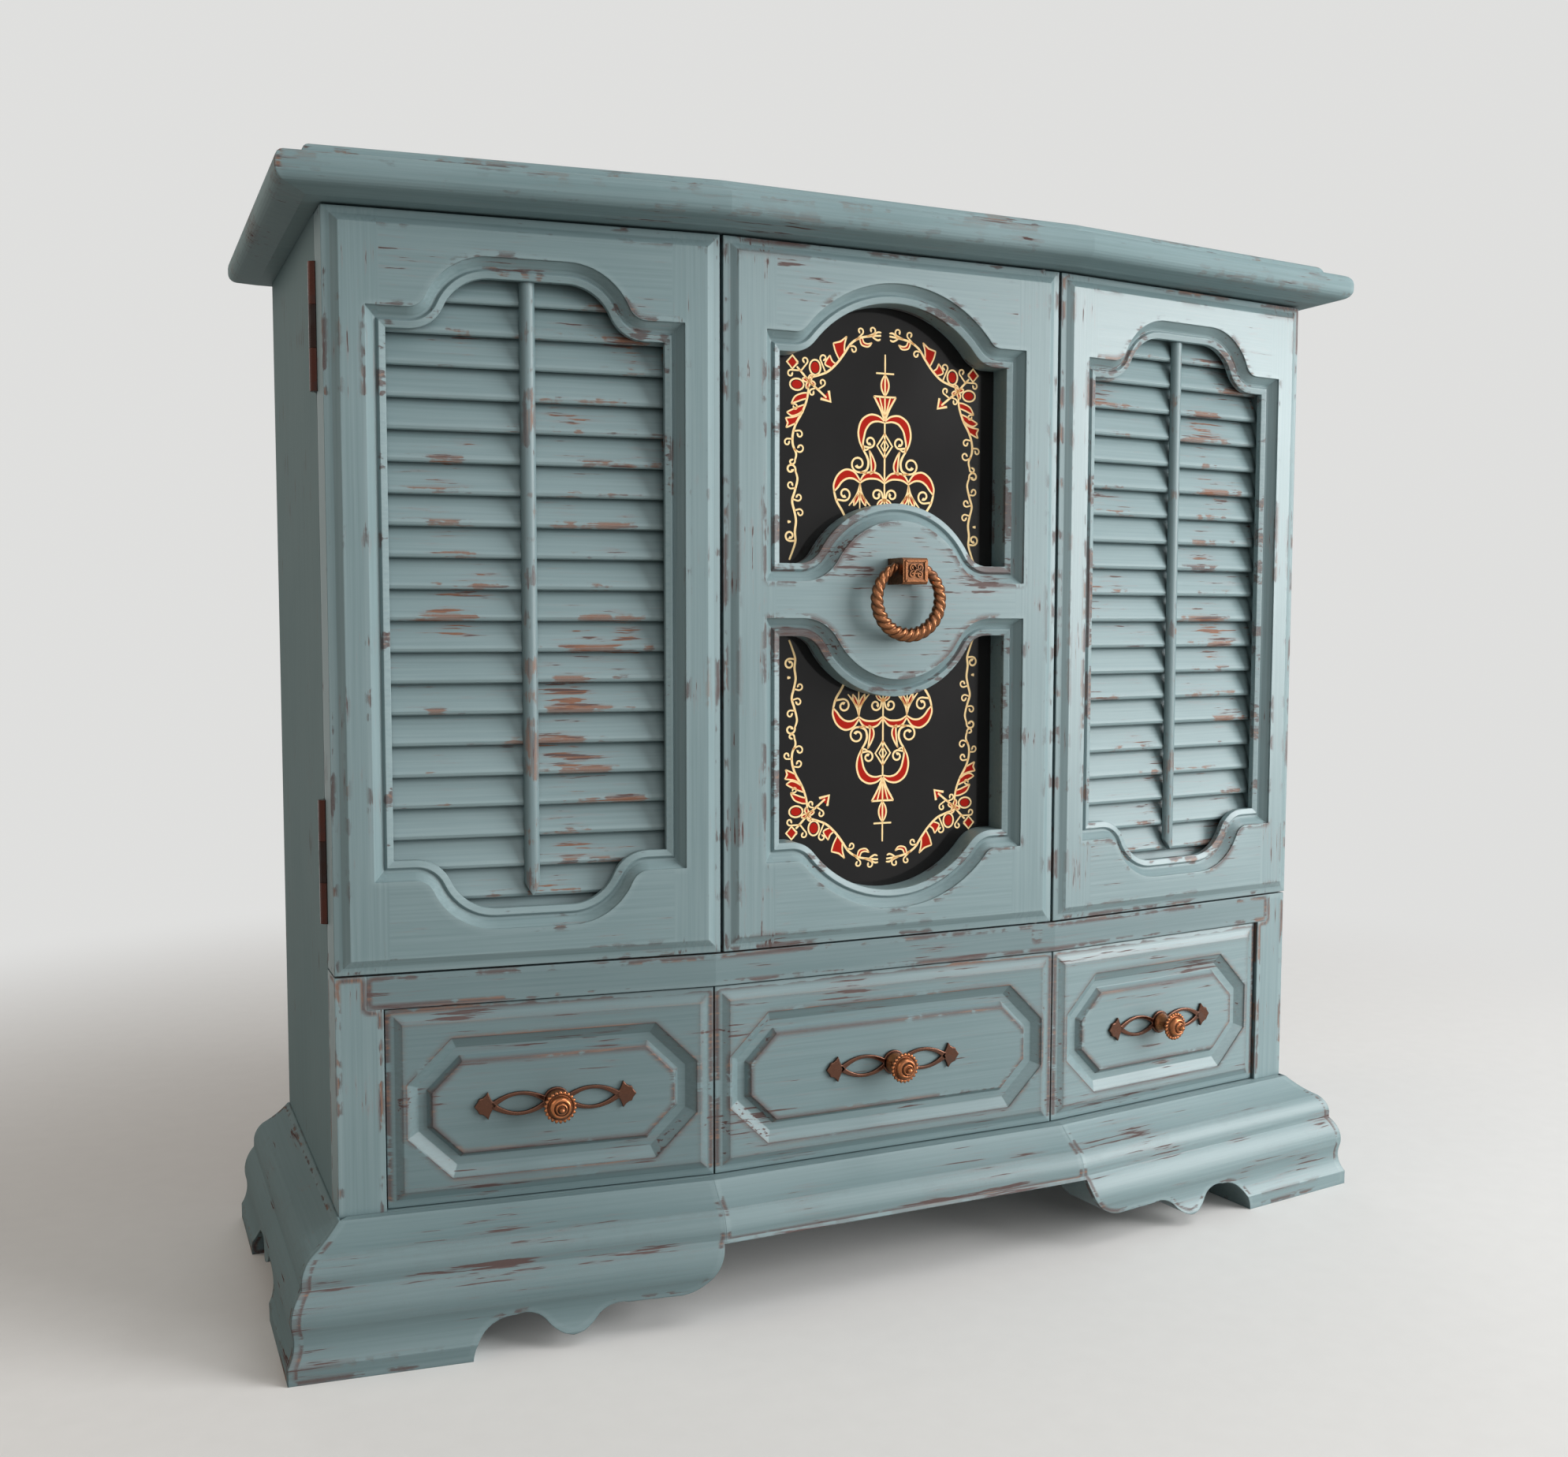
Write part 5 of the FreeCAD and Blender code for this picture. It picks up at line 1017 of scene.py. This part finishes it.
# %% Corner flower and arch vine
stroke([(32.2, 78.6), (34.2, 80.8), (36.2, 78.6), (34.2, 76.4), (32.2, 78.6)], 0.6, 1.0)
fills.append([(32.6, 78.6), (34.2, 80.2), (35.8, 78.6), (34.2, 77.0)])
stroke([(32.6, 77.2), (30.2, 74.8), (28.2, 72.6), (24.8, 70.0), (21.8, 67.6)], 0.62, 0.9)
stroke([(21.0, 70.0), (20.3, 66.4), (24.0, 67.2)], 0.8, 0.9)
fills.append([(21.4, 69.4), (20.6, 66.8), (23.4, 67.4)])
for root, centre, radius in (
        ((25.0, 70.2), (23.4, 72.6), 1.2), ((25.6, 70.6), (27.0, 69.0), 1.1),
        ((31.2, 75.8), (29.8, 79.4), 1.2), ((31.4, 76.0), (34.8, 74.8), 1.2)):
    curl(root, centre, radius, width=0.5)
for across, up, wide, high in ((26.0, 77.4, 2.0, 2.5), (32.6, 71.4, 2.5, 1.9)):
    turns = [2 * math.pi * k / BERRY_SIDES for k in range(BERRY_SIDES)]
    offsets = [(wide * math.cos(turn), high * math.sin(turn)) for turn in turns]
    berry = [(across + dx, up + dz) for dx, dz in offsets]
    stroke(berry + berry[:1], 0.5, 1.0)
    fills.append([(across + dx * RED_SHARE, up + dz * RED_SHARE) for dx, dz in offsets])
for turn in (0, 90, 180, 270):
    lean = math.radians(turn + 20)
    leaf((28.2, 72.6), (28.2 + 2.6 * math.cos(lean), 72.6 + 2.6 * math.sin(lean)), 0.6, -0.6, 0.45)
stroke(smooth_line([(28.2, 73.8), (24.6, 74.9), (21.2, 76.4), (17.9, 79.4), (15.3, 82.7), (12.8, 86.2),
                    (9.4, 88.3), (5.2, 89.2), (1.6, 89.6)]), 0.66, 0.8)
band([(18.4, 79.0), (19.8, 80.0), (20.6, 81.8)], [(20.0, 77.6), (22.4, 78.8), (20.6, 81.8)], 0.45)
band([(15.3, 83.2), (15.2, 85.8), (14.4, 88.4)], [(17.2, 80.6), (18.6, 83.2), (19.4, 85.8)], 0.45)
stroke([(14.4, 88.4), (16.6, 86.6), (19.4, 85.8)], 0.5, 0.9)
band([(9.6, 88.0), (8.8, 86.0), (6.4, 85.6), (5.0, 87.0)],
     [(8.6, 88.2), (8.0, 86.9), (6.6, 86.5), (5.0, 87.0)], 0.45)
for root, centre, radius in (
        ((22.2, 76.0), (22.9, 80.6), 1.3), ((13.6, 85.2), (11.9, 84.2), 1.2),
        ((11.0, 87.4), (9.4, 90.6), 1.2), ((6.8, 89.0), (4.9, 91.2), 1.3)):
    curl(root, centre, radius, width=0.5)
stroke(smooth_line([(5.0, 89.2), (3.0, 90.6), (1.5, 90.6)]), 0.55)
stroke(smooth_line([(5.0, 89.0), (3.0, 88.0), (1.8, 88.4)]), 0.55)
print(len(strokes), "strokes and", len(fills), "fills in half a pane")

# %% Gilding pieces
GLASS_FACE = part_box("centre_glass")[0].y
DRAWN_HIGH = 0.985
MIDDLE_LINE = 0.01
INK_THICKNESS = 0.04 * MM


def gilding(name, material, lift, forms, draw):
    """Mirror the drawn forms across and down and lay them on the glass.

    A form on the middle line is its own mirror image, so it is laid once.
    """
    shape = bmesh.new()
    depth = GLASS_FACE - lift * MM
    off_middle = [form for form in forms if max(point[0] for point in form[0]) > MIDDLE_LINE]
    for across, chosen in ((-1, off_middle), (1, forms)):
        for up in (-1, 1):
            for points, rest in chosen:
                draw(shape, points, rest, lambda point: Vector((
                    point.x * across * MM, depth, DOOR_MIDDLE + point.y * DRAWN_HIGH * up * MM)))
    made = finish_mesh(name, shape, material, smooth=False)
    thicken(made, INK_THICKNESS)
    apply_modifiers(made)
    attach(made, "centre_door")
    return made


def print_ink(name, light, dark, painted_glow):
    finish = Finish(name)
    speck = finish.noise(finish.place() / 0.8, detail=2.0)
    # The inks glow a little: painted light that keeps the thin strokes as bright as lit gilding.
    finish.set(Base_Color=finish.colour(speck, dark, light), Roughness=0.60 + speck * 0.1,
               Specular_IOR_Level=0.05, Emission_Color=light, Emission_Strength=painted_glow)
    return finish.material


cream_ink = print_ink("cream_gilding", (0.96, 0.74, 0.40, 1), (0.88, 0.62, 0.31, 1), 0.10)
red_ink = print_ink("red_gilding", (0.44, 0.016, 0.008, 1), (0.33, 0.012, 0.006, 1), 0.03)
cream = gilding("cream_scrolls", cream_ink, 0.08, strokes, ribbon)
red = gilding("red_leaves", red_ink, 0.04, [(outline, None) for outline in fills],
              lambda shape, outline, rest, to_space: fill(shape, outline, to_space))
print("scrolls have", len(cream.data.polygons), "faces and leaves", len(red.data.polygons))

# %% [markdown]
# # The end
#
# The dressed chest must be as large as the frame.

# %% End
print("the chest is dressed")
